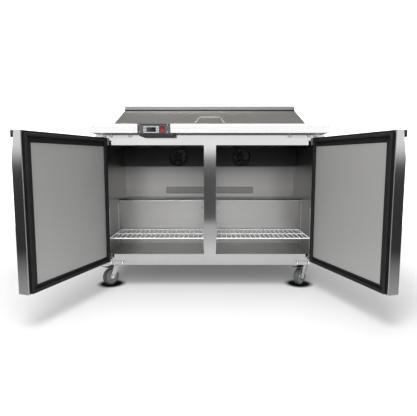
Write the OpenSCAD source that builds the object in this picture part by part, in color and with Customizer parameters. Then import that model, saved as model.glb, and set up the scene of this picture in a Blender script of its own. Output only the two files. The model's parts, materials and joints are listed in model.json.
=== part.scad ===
// Refrigerated sandwich prep table: two-door insulated cabinet on casters, with a
// food-pan opening under a sloped lid, a cutting board and a rear condensing unit.
// X runs to the right, Y to the back and Z up. The origin is the centre of the
// cabinet's footprint on the floor. Both doors are drawn open and the lid closed.

/* [Cabinet] */
// Overall width of the cabinet and worktop
cabinet_w = 1224; // [1212:4:1236]
// Depth of the insulated body behind the face frame
body_d = 662; // [656:2:680]
// Height of the cabinet's underside above the floor
base_z = 129.5; // [129.5:0.5:131]
// Height of the face frame's lower opening edge
sill_z = 190.9; // [188:0.1:192]
// Height of the face frame's upper opening edge
head_z = 787.3; // [784:0.1:788]
// Height of the cabinet's top, where the worktop begins
body_top_z = 845.4; // [845:0.1:846]
// Half the width of the centre mullion
mullion_half_w = 32.5; // [32:0.1:35]
// Insulated side wall thickness, skins included
wall_t = 51; // [50:1:52]

/* [Worktop and board] */
// Height of the steel worktop
worktop_z = 879; // [878:0.5:880]
// How far the worktop overhangs the face frame
overhang = 99.6; // [97:0.2:102]
// Cutting board thickness
board_t = 12; // [10:1:14]
// Cutting board depth, front to back
board_d = 208; // [200:2:210]

/* [Food pans] */
// Number of pans in each of the two rows
pan_columns = 6; // [6]
// Outside width of one pan's rim
pan_rim_w = 176; // [172:1:176]
// Outside depth of one pan's rim
pan_rim_d = 162; // [158:1:162]
// Depth of a pan below its rim
pan_depth = 88; // [65:1:92]

/* [Lid and hood] */
// Slope of the lid when closed, in degrees
lid_slope = 19.3; // [19:0.1:19.6]
// Front face of the hood, where the lid's slope ends
ledge_y = 177; // [175:1:178]
// Height of the top of the lid's slope
slope_top_z = 1029; // [1028:1:1031]
// Height of the hood
hood_z = 1057.5; // [1057:0.5:1059]
// Half the width of the lid and hood
lid_half_w = 555; // [554:1:557]
// Thickness of the lid
lid_t = 24; // [20:1:25]

/* [Doors] */
// Opening angle at which the left door is drawn
left_door_angle = 109.2; // [0:0.1:118]
// Opening angle at which the right door is drawn
right_door_angle = 107.4; // [0:0.1:118]
// Door height
door_h = 669; // [667:0.1:669.4]
// Height of the doors' lower edge
door_z = 156.2; // [156:0.1:157]
// Door thickness, steel skin to liner
door_t = 50; // [46:1:50]
// Half the gap between the closed doors
door_gap = 3.5; // [3:0.5:5]

/* [Shelves] */
// Height of the shelves' upper wires
shelf_z = 281; // [276:1:290]
// Number of front-to-back wires in each shelf
shelf_wires = 20; // [16:1:22]

/* [Casters] */
// Wheel radius
wheel_r = 47.5; // [46:0.5:49]
// Wheel width
wheel_w = 27; // [26:1:31]
// Horizontal distance from the swivel axis to the axle
caster_trail = 40; // [34:1:42]

/* [Hidden] */
$fn = 48;

// Sheet, gaps and clearances
sheet = 1.2;
gap = 0.2;
run_gap = 0.05;      // radial clearance of a pin in its bore
half_w = cabinet_w / 2;
face_y = -body_d / 2;
back_y = body_d / 2;

// Storage cavity
cavity_x = half_w - wall_t;
floor_z = sill_z - 4.2;
flange_d = 18;                      // returns of the face frame round its openings
mullion_d = 40;
liner_y = face_y + flange_d + 0.5;  // front edge of the liner
hump_y = 0;                         // face of the compressor step
hump_z = 464.7;
hump_r = 12;
upper_y = 188.7;                    // upper rear inner wall
duct_y = upper_y + 81;              // front of the rear insulation
post_half_w = 54;
post_d = 20;

// Pan opening
pan_gap = 1;
pans_w = pan_columns * (pan_rim_w + pan_gap) - pan_gap;
pans_d = 2 * (pan_rim_d + pan_gap) - pan_gap;
pans_y = -27.5;                     // middle of the two rows
rim_rest = 7;                       // width of rim that rests on the opening's edge
well_x = pans_w / 2 - rim_rest;
well_y0 = pans_y - pans_d / 2 + rim_rest;
well_y1 = pans_y + pans_d / 2 - rim_rest;
pan_wall = 1.2;
pan_body_w = pan_rim_w - 26;
pan_body_d = pan_rim_d - 28;
bar_w = 14;
bar_z0 = worktop_z - 10;

// Worktop
front_y = face_y - overhang;
well_front_y = well_y0 - 1.5;

// Lid and hood
pivot_y = ledge_y + 7;              // lid hinge axis
pivot_z = hood_z - 4.5;
hood_y = ledge_y + 19;
slope_rise = tan(lid_slope);
lid_drop = lid_t / cos(lid_slope);  // lid thickness measured vertically
lid_low_z = worktop_z + 3.5;
lid_front_y = -203;
cheek_gap = 1.5;
cheek_x = lid_half_w - 20;
hinge_x = [-440, 0, 440];
knuckle_l = 24;
knuckle_r = 5;
lid_pin_r = 2.5;
handle_y = -117;
handle_foot_x = 82;
handle_grip_x = 61.5;
handle_rise = 30;
handle_rod_r = 4;
handle_bend_r = 10;

// Doors, drawn closed on the right-hand side and then swung about their pins
door_x0 = door_gap;
door_x1 = half_w - 5;
door_back_y = face_y - 14;
door_front_y = door_back_y - door_t;
door_top_z = door_z + door_h;
pivot_x = half_w - 33;
door_pivot_y = face_y - 39.5;
slope_h = 110;                      // height of the tapered band at the door's top
slope_in = 17;
panel_x0 = door_x0 + 54;
panel_x1 = door_x1 - 33;
panel_z0 = door_z + 32;
panel_z1 = door_top_z - 47;
gasket_w = 14;
gasket_gap = 0.6;
door_pin_r = 4;
bushing_r = 6.5;
bushing_l = 22;
bar_h = 20;

// Controller on the worktop's front edge
ctl_x0 = -368;
ctl_x1 = -203;
ctl_z0 = 841;
ctl_z1 = 890;
ctl_back_y = front_y - 0.4;
ctl_front_y = ctl_back_y - 15;
bezel_x0 = -337;
bezel_x1 = -259;
bezel_z0 = 845;
bezel_z1 = 877;
window_x0 = -322.5;
window_x1 = -273.5;
window_z0 = 849;
window_z1 = 873;
key_w = 8.5;
key_h = 8;
key_x = [-329.5, -266.5];
key_z = [854.5, 867.5];
rocker_x = -242.5;
rocker_z = 863;
rocker_w = 18;
rocker_h = 30;
rocker_tilt = 6;
rocker_y = ctl_front_y + 3;         // axis of the rocker's stub pins
rocker_pin_r = 1.2;
rocker_pin_l = rocker_w / 2 + 3;

// Fans
fan_x = 204;
fan_z = 728;
fan_r = 50;
cover_y = 116.4;
cover_z0 = 667.7;
motor_r = 20;
cond_x = 220;
cond_z = 272;
cond_r = 108;
gland_r = 4.5;

// Casters
caster_x = half_w - 72;
caster_y = body_d / 2 - 90;
plate_t = 3;
race_r = 28;
race_z0 = base_z - plate_t - 9;
crown_t = 5.5;
crown_z1 = race_z0 - 0.7;
kingpin_r = 6;
leg_in = wheel_w / 2 + 3;
leg_t = 3;
axle_r = 5;
lever_x = 22;
lever_z = 105.5;
// Swivel angles of the four casters: front left, front right, rear left, rear right
caster_turn = [228, 227, 70, 105];

// ---- helpers ----

// A box between two opposite corners
module block(p, q) {
    translate(p) cube(q - p);
}

// A profile drawn as [y, z] and extruded from x0 to x1
module along_x(x0, x1) {
    translate([x0, 0, 0]) rotate([90, 0, 90]) linear_extrude(x1 - x0) children();
}

// A rod between two points
module rod(p, q, r) {
    d = q - p;
    length = norm(d);
    polar = acos(d[2] / length);
    azimuth = atan2(d[1], d[0]);
    translate(p) rotate([0, polar, azimuth]) cylinder(h = length, r = r);
}

// A pipe along a list of points, with a soldered ball joint at each corner
module pipe(points, r) {
    for (i = [0 : len(points) - 2]) rod(points[i], points[i + 1], r);
    if (len(points) > 2)
        for (i = [1 : len(points) - 2]) translate(points[i]) sphere(1.2 * r);
}

// A bend about the origin in the XZ plane, from one angle to another. It is a hair
// thicker than its rods, whose ends run a little way into it.
module elbow(bend_r, r, from, to) {
    rotate([90, 0, 0]) rotate([0, 0, from]) rotate_extrude(angle = to - from)
        translate([bend_r, 0]) circle(r + 0.03);
}

module round_rect(w, d, r) {
    square([w - 2 * r, d], center = true);
    square([w, d - 2 * r], center = true);
    for (sx = [-1, 1])
        for (sy = [-1, 1]) translate([sx * (w / 2 - r), sy * (d / 2 - r)]) circle(r);
}

module both_sides() {
    children();
    mirror([1, 0, 0]) children();
}

// Height of the lid's upper surface at a given y
function slope_z(y) = slope_top_z + (y - ledge_y) * slope_rise;

// ---- cabinet ----

module cabinet_wrapper() {
    color("silver") {
        both_sides() block([-half_w, face_y + 1.5, base_z], [-half_w + sheet, back_y, body_top_z]);
        difference() {
            block([-half_w, back_y - sheet, base_z], [half_w, back_y, body_top_z]);
            block([-530, back_y - 5, 150], [530, back_y + 5, 412]);
        }
    }
}

module caster_plate(x, y) {
    translate([x, y, 0]) {
        difference() {
            translate([-42, -52, base_z - plate_t]) cube([84, 104, plate_t]);
            for (sx = [-1, 1])
                for (sy = [-1, 1])
                    translate([sx * 31, sy * 41, base_z - 5]) cylinder(h = 10, r = 4.2);
        }
        for (sx = [-1, 1])
            for (sy = [-1, 1]) translate([sx * 31, sy * 41, 0]) {
                translate([0, 0, base_z - plate_t - 4.5]) cylinder(h = 4.5, r = 6.5, $fn = 6);
                translate([0, 0, base_z - plate_t - 1]) cylinder(h = plate_t + 1, r = 4);
            }
        translate([0, 0, race_z0]) cylinder(h = base_z - plate_t - race_z0, r = race_r);
        translate([0, 0, crown_z1 - crown_t - 5]) cylinder(h = race_z0 - crown_z1 + crown_t + 5, r = kingpin_r);
        translate([0, 0, crown_z1 - crown_t - 8]) cylinder(h = 3.5, r = 10, $fn = 6);
    }
}

module base_frame() {
    color("lightslategray") {
        block([-half_w + sheet + gap, face_y + 1.7, base_z],
              [half_w - sheet - gap, back_y - sheet - gap, base_z + 2]);
        for (sx = [-1, 1])
            for (sy = [-1, 1]) caster_plate(sx * caster_x, sy * caster_y);
    }
}

// Floor, step, side walls and ceiling of the storage cavity, with the pan well above it
module cavity_liner() {
    color("gainsboro") {
        along_x(-cavity_x, cavity_x) {
            translate([liner_y, floor_z - 1]) square([hump_y + 1 - liner_y, 1]);
            translate([hump_y, floor_z - 1]) square([1, hump_z - hump_r - floor_z + 1]);
            translate([hump_y + hump_r, hump_z - 1]) square([upper_y - 1 - hump_y - hump_r, 1]);
            difference() {
                translate([hump_y + hump_r, hump_z - hump_r]) circle(hump_r);
                translate([hump_y + hump_r, hump_z - hump_r]) circle(hump_r - 1);
                translate([hump_y + hump_r, hump_z - 3 * hump_r]) square(4 * hump_r);
                translate([hump_y - hump_r, hump_z - 3 * hump_r]) square([4 * hump_r, 2 * hump_r]);
            }
        }
        both_sides() block([-cavity_x - 1, liner_y, floor_z - 1], [-cavity_x, upper_y - 1, head_z + 1]);
        difference() {
            block([-cavity_x, liner_y, head_z], [cavity_x, upper_y + 1.7, head_z + 1]);
            block([-well_x, well_y0, head_z - 5], [well_x, well_y1, head_z + 5]);
        }
        difference() {
            block([-well_x - 1, well_y0 - 1, head_z], [well_x + 1, well_y1 + 1, worktop_z - sheet - gap]);
            block([-well_x, well_y0, head_z - 5], [well_x, well_y1, worktop_z + 5]);
        }
        // ledges that carry the divider bars
        for (y = [well_y0, well_y1 - 5]) block([-well_x, y, bar_z0 - 1.7], [well_x, y + 5, bar_z0 - 0.2]);
    }
}

// Blown foam, drawn as the slabs between the skins
module cabinet_foam() {
    x_in = cavity_x + 1 + gap;
    x_out = half_w - sheet - gap;
    y_face = face_y + 1.7;
    y_back = back_y - sheet - gap;
    z_low = base_z + 2 + gap;
    z_top = body_top_z - gap;
    core_z0 = body_top_z + sheet + gap;
    core_z1 = worktop_z - sheet - gap;
    color("khaki") {
        // side walls, floor, compressor step, rear wall
        both_sides() block([-x_out, y_face, z_low], [-x_in, y_back, z_top]);
        block([-cavity_x, y_face, z_low], [cavity_x, hump_y - gap, floor_z - 1 - gap]);
        block([-cavity_x, hump_y + 1.3, z_low], [cavity_x, hump_y + 41, 423.5]);
        difference() {
            block([-cavity_x, hump_y + hump_r + 1, 424], [cavity_x, duct_y - 0.5, hump_z - 1 - gap]);
            for (x = [-430, -400]) translate([x, 230, 400]) cylinder(h = 100, r = 13);
        }
        block([-cavity_x, duct_y, 424], [cavity_x, y_back, z_top]);
        // top rail, pan surround and mullion
        block([-cavity_x, y_face, head_z + 1 + gap], [cavity_x, well_front_y, z_top]);
        both_sides()
            block([-cavity_x, well_front_y + 0.3, head_z + 1 + gap], [-well_x - 1.3, well_y1 + 1, z_top]);
        block([-cavity_x, well_y1 + 1.4, head_z + 1 + gap], [cavity_x, duct_y - 0.5, z_top]);
        block([-mullion_half_w + sheet + gap, y_face, sill_z + gap],
              [mullion_half_w - sheet - gap, face_y + mullion_d - 1.5, head_z - gap]);
        // worktop core
        block([-x_out, front_y + sheet + gap, core_z0], [x_out, well_front_y, core_z1]);
        both_sides() block([-x_out, well_front_y + 0.3, core_z0], [-well_x - 1.3, well_y1 + 1, core_z1]);
        block([-x_out, well_y1 + 1.4, core_z0], [x_out, y_back, core_z1]);
        // hood core and the wedges under the lid's ends
        block([-lid_half_w + sheet + gap, hood_y + sheet + gap, worktop_z + gap],
              [lid_half_w - sheet - gap, y_back, hood_z - sheet - gap]);
        both_sides() along_x(cheek_x + sheet + gap, lid_half_w - 3 * sheet - 2 * gap)
            polygon([
                [-160, worktop_z + gap],
                [hood_y - 1, worktop_z + gap],
                [hood_y - 1, slope_z(hood_y - 1) - lid_drop - cheek_gap - 2],
                [-160, slope_z(-160) - lid_drop - cheek_gap - 2]
            ]);
    }
}

module face_frame() {
    color("whitesmoke") {
        difference() {
            block([-half_w, face_y, base_z], [half_w, face_y + 1.5, body_top_z]);
            both_sides() block([mullion_half_w, face_y - 5, sill_z], [cavity_x, face_y + 5, head_z]);
        }
        both_sides() {
            difference() {
                block([mullion_half_w - sheet, face_y + 1.5, sill_z - sheet],
                      [cavity_x + sheet, face_y + flange_d, head_z + sheet]);
                block([mullion_half_w, face_y, sill_z], [cavity_x, face_y + 50, head_z]);
            }
            block([mullion_half_w - sheet, face_y + flange_d - 1, sill_z],
                  [mullion_half_w, face_y + mullion_d, head_z - gap]);
        }
        block([-mullion_half_w, face_y + mullion_d - sheet, sill_z],
              [mullion_half_w, face_y + mullion_d, head_z - gap]);
    }
}

module rear_louvre_panel() {
    color("darkgray") difference() {
        block([-545, back_y, 140], [545, back_y + 1.5, 422]);
        for (column = [-360, -120, 120, 360])
            for (row = [0 : 10])
                block([column - 90, back_y - 5, 168 + 22 * row], [column + 90, back_y + 5, 176 + 22 * row]);
    }
}

module worktop() {
    color("white") {
        difference() {
            block([-half_w, front_y, worktop_z - sheet], [half_w, back_y, worktop_z]);
            block([-well_x, well_y0, worktop_z - 5], [well_x, well_y1, worktop_z + 5]);
        }
        // aprons on four sides and the panel under the overhang
        block([-half_w, front_y, body_top_z], [half_w, front_y + sheet, worktop_z]);
        block([-half_w, back_y - sheet, body_top_z], [half_w, back_y, worktop_z]);
        both_sides() block([-half_w, front_y, body_top_z], [-half_w + sheet, back_y, worktop_z]);
        difference() {
            block([-half_w, front_y, body_top_z], [half_w, back_y, body_top_z + sheet]);
            block([-well_x - 2, well_y0 - 2, body_top_z - 5], [well_x + 2, well_y1 + 2, body_top_z + 5]);
        }
    }
}

// ---- lid, hood and pans ----

module rear_hood() {
    color("silver") {
        difference() {
            block([-lid_half_w, hood_y, worktop_z], [lid_half_w, back_y, hood_z]);
            block([-lid_half_w + sheet, hood_y + sheet, worktop_z - 5],
                  [lid_half_w - sheet, back_y - sheet, hood_z - sheet]);
        }
        // folded end walls that close the space under the lid
        both_sides() along_x(cheek_x, lid_half_w - 2 * sheet - 0.2) difference() {
            polygon([
                [-168, worktop_z],
                [hood_y, worktop_z],
                [hood_y, slope_z(hood_y) - lid_drop - cheek_gap],
                [-168, slope_z(-168) - lid_drop - cheek_gap]
            ]);
            polygon([
                [-161, worktop_z - 5],
                [hood_y - 0.8, worktop_z - 5],
                [hood_y - 0.8, slope_z(hood_y) - lid_drop - cheek_gap - 1.5],
                [-161, slope_z(-161) - lid_drop - cheek_gap - 1.5]
            ]);
        }
        both_sides() for (x = [cheek_x, lid_half_w - 3 * sheet - 0.2])
            along_x(x, x + sheet) polygon([
                [-168, worktop_z],
                [hood_y, worktop_z],
                [hood_y, slope_z(hood_y) - lid_drop - cheek_gap],
                [-168, slope_z(-168) - lid_drop - cheek_gap]
            ]);
    }
}

module divider_bars() {
    pitch = pan_rim_w + pan_gap;
    color("gray") {
        for (i = [1 : pan_columns - 1]) {
            x = (i - pan_columns / 2) * pitch;
            block([x - bar_w / 2, well_y0 + 0.3, bar_z0], [x + bar_w / 2, well_y1 - 0.3, worktop_z - 0.3]);
        }
        for (i = [0 : pan_columns - 1]) {
            x0 = (i - pan_columns / 2) * pitch + (i == 0 ? rim_rest + 0.8 : bar_w / 2 + 0.8);
            x1 = (i + 1 - pan_columns / 2) * pitch - (i == pan_columns - 1 ? rim_rest + 0.8 : bar_w / 2 + 0.8);
            block([x0, pans_y - 6, worktop_z - 7], [x1, pans_y + 6, worktop_z - 0.3]);
        }
    }
}

module food_pan() {
    difference() {
        union() {
            translate([0, 0, worktop_z + 0.1]) linear_extrude(pan_wall) round_rect(pan_rim_w, pan_rim_d, 14);
            translate([0, 0, worktop_z - pan_depth]) linear_extrude(pan_depth + 1)
                round_rect(pan_body_w, pan_body_d, 24);
        }
        translate([0, 0, worktop_z - pan_depth + pan_wall]) linear_extrude(pan_depth + 10)
            round_rect(pan_body_w - 2 * pan_wall, pan_body_d - 2 * pan_wall, 24 - pan_wall);
    }
}

module food_pans() {
    pitch = pan_rim_w + pan_gap;
    color("lightgray")
        for (i = [0 : pan_columns - 1])
            for (row = [-1, 1])
                translate([(i + 0.5 - pan_columns / 2) * pitch, pans_y + row * (pan_rim_d + pan_gap) / 2, 0])
                    food_pan();
}

// Outline of the closed lid as [y, z], shrunk by a margin
module lid_outline(m) {
    y0 = lid_front_y + m;
    drop = m / cos(lid_slope);
    z_low = lid_low_z + m;
    y_low = ledge_y + (z_low - slope_top_z + lid_drop - drop) / slope_rise;
    polygon([
        [y0, z_low],
        [y0, slope_z(y0) - drop],
        [ledge_y - m, slope_z(ledge_y - m) - drop],
        [ledge_y - m, slope_z(ledge_y - m) - lid_drop + drop],
        [y_low, z_low]
    ]);
}

module lid_skin() {
    color("darkgray") difference() {
        union() {
            difference() {
                along_x(-lid_half_w, lid_half_w) lid_outline(0);
                along_x(-lid_half_w + sheet, lid_half_w - sheet) lid_outline(sheet);
                // the underside is left open for the inner panel
                along_x(-lid_half_w + sheet, lid_half_w - sheet) polygon([
                    [lid_front_y + 12, lid_low_z + sheet],
                    [-168, lid_low_z - 5],
                    [ledge_y - 12, slope_z(ledge_y - 12) - lid_drop - 5],
                    [ledge_y - 12, slope_z(ledge_y - 12) - lid_drop + 3]
                ]);
            }
            // upturned rear band with its folded hem
            block([-lid_half_w, ledge_y - sheet, slope_top_z - 6], [lid_half_w, ledge_y, hood_z]);
            block([-lid_half_w, ledge_y - sheet, hood_z - sheet], [lid_half_w, ledge_y + 1.5, hood_z]);
            for (x = hinge_x) {
                rod([x - knuckle_l / 2, pivot_y, pivot_z], [x + knuckle_l / 2, pivot_y, pivot_z], knuckle_r);
                block([x - knuckle_l / 2, ledge_y - sheet, pivot_z - 5],
                      [x + knuckle_l / 2, pivot_y, pivot_z - 2.8]);
            }
        }
        for (x = hinge_x)
            rod([x - knuckle_l, pivot_y, pivot_z], [x + knuckle_l, pivot_y, pivot_z], lid_pin_r + run_gap);
    }
}

module lid_core() {
    color("ivory") along_x(-lid_half_w + sheet + gap, lid_half_w - sheet - gap) lid_outline(sheet + gap);
}

module lid_handle() {
    leg_angle = atan2(handle_rise, handle_foot_x - handle_grip_x);
    tangent = handle_bend_r * tan(leg_angle / 2);
    arc_x = handle_grip_x - tangent;
    arc_z = handle_rise - handle_bend_r;
    leg_x = handle_grip_x + tangent * cos(leg_angle);
    leg_z = handle_rise - tangent * sin(leg_angle);
    color("silver") translate([0, handle_y, slope_z(handle_y)]) rotate([lid_slope, 0, 0]) {
        rod([-arc_x - 0.4, 0, handle_rise], [arc_x + 0.4, 0, handle_rise], handle_rod_r);
        translate([arc_x, 0, arc_z]) elbow(handle_bend_r, handle_rod_r, 90 - leg_angle, 90);
        translate([-arc_x, 0, arc_z]) elbow(handle_bend_r, handle_rod_r, 90, 90 + leg_angle);
        for (s = [-1, 1]) {
            rod([s * (handle_foot_x - 0.7), 0, 1.2],
                [s * (leg_x - 0.4 * cos(leg_angle)), 0, leg_z + 0.4 * sin(leg_angle)], handle_rod_r);
            translate([s * handle_foot_x, 0, 0.1]) cylinder(h = 5, r = 8);
        }
    }
}

module cutting_board() {
    color("white") translate([0, front_y + 0.4 + board_d / 2, worktop_z + 0.2])
        linear_extrude(board_t) round_rect(2 * half_w - 6, board_d, 6);
}

// ---- doors ----

// Swings a door, drawn closed on the right-hand side, open about its pins
module swing(angle) {
    translate([pivot_x, door_pivot_y, 0]) rotate([0, 0, angle])
        translate([-pivot_x, -door_pivot_y, 0]) children();
}

// Section of a door as [y, z], shrunk by a margin on the front, top and bottom
module door_section(m, back) {
    polygon([
        [back, door_z + m],
        [door_front_y + m, door_z + m],
        [door_front_y + m, door_top_z - slope_h - 0.1 * m],
        [door_front_y + slope_in + 0.99 * m, door_top_z - m],
        [back, door_top_z - m]
    ]);
}

module pin_holes(r) {
    translate([pivot_x, door_pivot_y, door_z - 1]) cylinder(h = bushing_l + 1 + gap, r = r);
    translate([pivot_x, door_pivot_y, door_top_z - bushing_l - gap]) cylinder(h = bushing_l + 5, r = r);
}

module door_skin() {
    difference() {
        along_x(door_x0, door_x1) door_section(0, door_back_y);
        along_x(door_x0 + sheet, door_x1 - sheet) door_section(sheet, door_back_y + 5);
        pin_holes(bushing_r + 0.1);
    }
}

module door_core() {
    y_back = door_back_y - 3.2;
    x0 = door_x0 + sheet + gap;
    x1 = door_x1 - sheet - gap;
    z_split = door_top_z - slope_h;
    difference() {
        block([x0, door_front_y + sheet + gap, door_z + sheet + gap], [x1, y_back, z_split - 0.5]);
        pin_holes(bushing_r + 0.1);
    }
    difference() {
        along_x(x0, x1) intersection() {
            door_section(sheet + gap, y_back);
            translate([door_front_y, z_split]) square([100, 200]);
        }
        pin_holes(bushing_r + 0.1);
    }
}

module door_panel() {
    block([panel_x0 + 0.3, door_back_y - 3, panel_z0 + 0.3],
          [panel_x1 - 0.3, door_back_y - 0.6, panel_z1 - 0.3]);
}

module ring(x0, x1, z0, z1, w, y0, y1) {
    difference() {
        block([x0, y0, z0], [x1, y1, z1]);
        block([x0 + w, y0 - 5, z0 + w], [x1 - w, y1 + 5, z1 - w]);
    }
}

// Black plastic surround of the inner panel, carrying the magnetic seal
module door_gasket() {
    seal_y = face_y - gasket_gap;
    x0 = door_x0 + 11;
    x1 = pivot_x + 3;
    z0 = door_z + 3;
    z1 = door_top_z - 9;
    difference() {
        block([door_x0 + sheet + gap, door_back_y - 3, door_z + sheet + gap],
              [door_x1 - sheet - gap, door_back_y + 1, door_top_z - sheet - gap]);
        block([panel_x0, door_back_y - 10, panel_z0], [panel_x1, door_back_y + 10, panel_z1]);
        pin_holes(bushing_r + 0.1);
    }
    ring(x0 + 3, x1 - 3, z0 + 3, z1 - 3, gasket_w - 6, door_back_y + 1, door_back_y + 4);
    ring(x0 + 5, x1 - 5, z0 + 5, z1 - 5, gasket_w - 10, door_back_y + 4, seal_y - 4);
    ring(x0, x1, z0, z1, gasket_w, seal_y - 5, seal_y);
}

// Pull bar along the door's top front edge, with a lip for the fingers
module door_handle() {
    z0 = door_top_z - bar_h;
    y_slope = door_front_y + slope_in * (slope_h - bar_h) / slope_h;
    along_x(door_x0, pivot_x - 18) polygon([
        [door_front_y + slope_in - 0.2, door_top_z],
        [door_front_y + 2, door_top_z],
        [door_front_y, door_top_z - 2],
        [door_front_y, z0 - 8],
        [door_front_y + 3.5, z0 - 8],
        [door_front_y + 3.5, z0],
        [y_slope - 0.2, z0]
    ]);
}

module door_bushings() {
    difference() {
        union() {
            translate([pivot_x, door_pivot_y, door_z]) cylinder(h = bushing_l, r = bushing_r);
            translate([pivot_x, door_pivot_y, door_top_z - bushing_l]) cylinder(h = bushing_l, r = bushing_r);
        }
        translate([pivot_x, door_pivot_y, door_z - 1]) cylinder(h = bushing_l - 2, r = door_pin_r + run_gap);
        translate([pivot_x, door_pivot_y, door_top_z - bushing_l + 3])
            cylinder(h = bushing_l, r = door_pin_r + run_gap);
    }
}

module right_swing() {
    swing(right_door_angle) children();
}

module left_swing() {
    mirror([1, 0, 0]) swing(left_door_angle) children();
}

module right_door_skin() { color("silver") right_swing() door_skin(); }
module right_door_core() { color("khaki") right_swing() door_core(); }
module right_door_panel() { color("darkgray") right_swing() door_panel(); }
module right_door_gasket() { color("black") right_swing() door_gasket(); }
module right_door_handle() { color("black") right_swing() door_handle(); }
module right_door_bushings() { color("white") right_swing() door_bushings(); }
module left_door_skin() { color("silver") left_swing() door_skin(); }
module left_door_core() { color("khaki") left_swing() door_core(); }
module left_door_panel() { color("darkgray") left_swing() door_panel(); }
module left_door_gasket() { color("black") left_swing() door_gasket(); }
module left_door_handle() { color("black") left_swing() door_handle(); }
module left_door_bushings() { color("white") left_swing() door_bushings(); }

// Door hinge brackets with riveted pins, and the fixed half of the lid hinges
module hinge_brackets() {
    plate_y = face_y - 3;
    color("silver") {
        both_sides() {
            top_z = door_top_z + 2.2;
            block([half_w - 200, plate_y, top_z], [half_w - 10, face_y, body_top_z - 1]);
            block([half_w - 52, door_pivot_y - 20, top_z], [half_w - 10, face_y, top_z + 3]);
            translate([pivot_x, door_pivot_y, door_top_z - bushing_l + 5])
                cylinder(h = bushing_l - 1, r = door_pin_r);
            low_z = door_z - 3.7;
            block([half_w - 142, plate_y, base_z + 3], [half_w - 10, face_y, low_z]);
            block([half_w - 52, door_pivot_y - 20, low_z - 3], [half_w - 10, face_y, low_z]);
            translate([pivot_x, door_pivot_y, low_z - 1]) cylinder(h = bushing_l - 1, r = door_pin_r);
            for (x = [half_w - 185, half_w - 83, half_w - 50])
                rod([x, plate_y + 0.5, top_z + 8.5], [x, plate_y - 5, top_z + 8.5], 8);
            for (x = [half_w - 127, half_w - 64])
                rod([x, plate_y + 0.5, base_z + 13], [x, plate_y - 5, base_z + 13], 8);
        }
        for (x = hinge_x) {
            rod([x - 1.5 * knuckle_l, pivot_y, pivot_z], [x + 1.5 * knuckle_l, pivot_y, pivot_z], lid_pin_r);
            for (s = [-1, 1]) {
                x0 = x + s * (knuckle_l + 0.5) - knuckle_l / 2;
                rod([x0, pivot_y, pivot_z], [x0 + knuckle_l, pivot_y, pivot_z], knuckle_r);
                block([x0, pivot_y, pivot_z - 5], [x0 + knuckle_l, hood_y - 0.1, pivot_z - 2.8]);
                block([x0, hood_y - 2.2, pivot_z - 30], [x0 + knuckle_l, hood_y - 0.1, pivot_z - 2.8]);
            }
        }
    }
}

// ---- controls ----

module controller_housing() {
    color("dimgray") difference() {
        union() {
            block([ctl_x0, ctl_front_y, ctl_z0], [ctl_x1, ctl_back_y, ctl_z1]);
            block([ctl_x0 + 8, ctl_back_y - 6, 829.5], [ctl_x1 + 18, face_y - 10, body_top_z - 0.5]);
        }
        block([rocker_x - rocker_w / 2 - 0.5, ctl_front_y - 1, rocker_z - rocker_h / 2 - 0.5],
              [rocker_x + rocker_w / 2 + 0.5, ctl_back_y - 4, rocker_z + rocker_h / 2 + 0.5]);
        rod([rocker_x - rocker_pin_l - 0.5, rocker_y, rocker_z],
            [rocker_x + rocker_pin_l + 0.5, rocker_y, rocker_z], rocker_pin_r + run_gap);
        for (x = key_x)
            for (z = key_z)
                block([x - key_w / 2 - 0.4, ctl_front_y - 1, z - key_h / 2 - 0.4],
                      [x + key_w / 2 + 0.4, ctl_front_y + 6, z + key_h / 2 + 0.4]);
    }
}

module display_bezel() {
    color("silver") difference() {
        block([bezel_x0, ctl_front_y - 3, bezel_z0], [bezel_x1, ctl_front_y, bezel_z1]);
        block([window_x0, ctl_front_y - 5, window_z0], [window_x1, ctl_front_y + 5, window_z1]);
        for (x = key_x)
            for (z = key_z)
                block([x - key_w / 2 - 0.4, ctl_front_y - 5, z - key_h / 2 - 0.4],
                      [x + key_w / 2 + 0.4, ctl_front_y + 5, z + key_h / 2 + 0.4]);
    }
}

module display_window() {
    color("black") block([window_x0 + gap, ctl_front_y - 2.2, window_z0 + gap],
                         [window_x1 - gap, ctl_front_y, window_z1 - gap]);
}

module key(i, j) {
    color("lightgray") translate([key_x[i], ctl_front_y - 4.2, key_z[j]]) {
        block([-key_w / 2, 0, -key_h / 2], [key_w / 2, 9, key_h / 2]);
    }
}

module key_up() { key(1, 1); }
module key_down() { key(1, 0); }
module key_set() { key(0, 1); }
module key_defrost() { key(0, 0); }

module power_rocker() {
    color("red") {
        translate([0, rocker_y, rocker_z]) rotate([rocker_tilt, 0, 0])
            along_x(rocker_x - rocker_w / 2, rocker_x + rocker_w / 2) polygon([
                [4.5, -rocker_h / 2 + 4],
                [-1.5, -rocker_h / 2 + 0.4],
                [-5.5, -rocker_h / 2 + 0.4],
                [-3.7, 0],
                [-5.5, rocker_h / 2 - 0.4],
                [-1.5, rocker_h / 2 - 0.4],
                [4.5, rocker_h / 2 - 4]
            ]);
        rod([rocker_x - rocker_pin_l, rocker_y, rocker_z],
            [rocker_x + rocker_pin_l, rocker_y, rocker_z], rocker_pin_r);
    }
}

// ---- cold compartment ----

module rear_inner_panel() {
    hole = 9.5;
    pitch = 15.4;
    columns = 38;
    color("lightgray") translate([0, upper_y + 1.5, 0]) rotate([90, 0, 0]) linear_extrude(1.5) difference() {
        translate([-cavity_x, hump_z + gap]) square([2 * cavity_x, head_z - hump_z - 2 * gap]);
        for (i = [0 : columns - 1])
            for (j = [0 : 2])
                translate([(i - columns / 2) * pitch + (pitch - hole) / 2, 488 + j * pitch])
                    square([hole, hole + 1]);
        translate([-414, 700]) circle(14);
        translate([-400, 740]) circle(14);
    }
}

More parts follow.
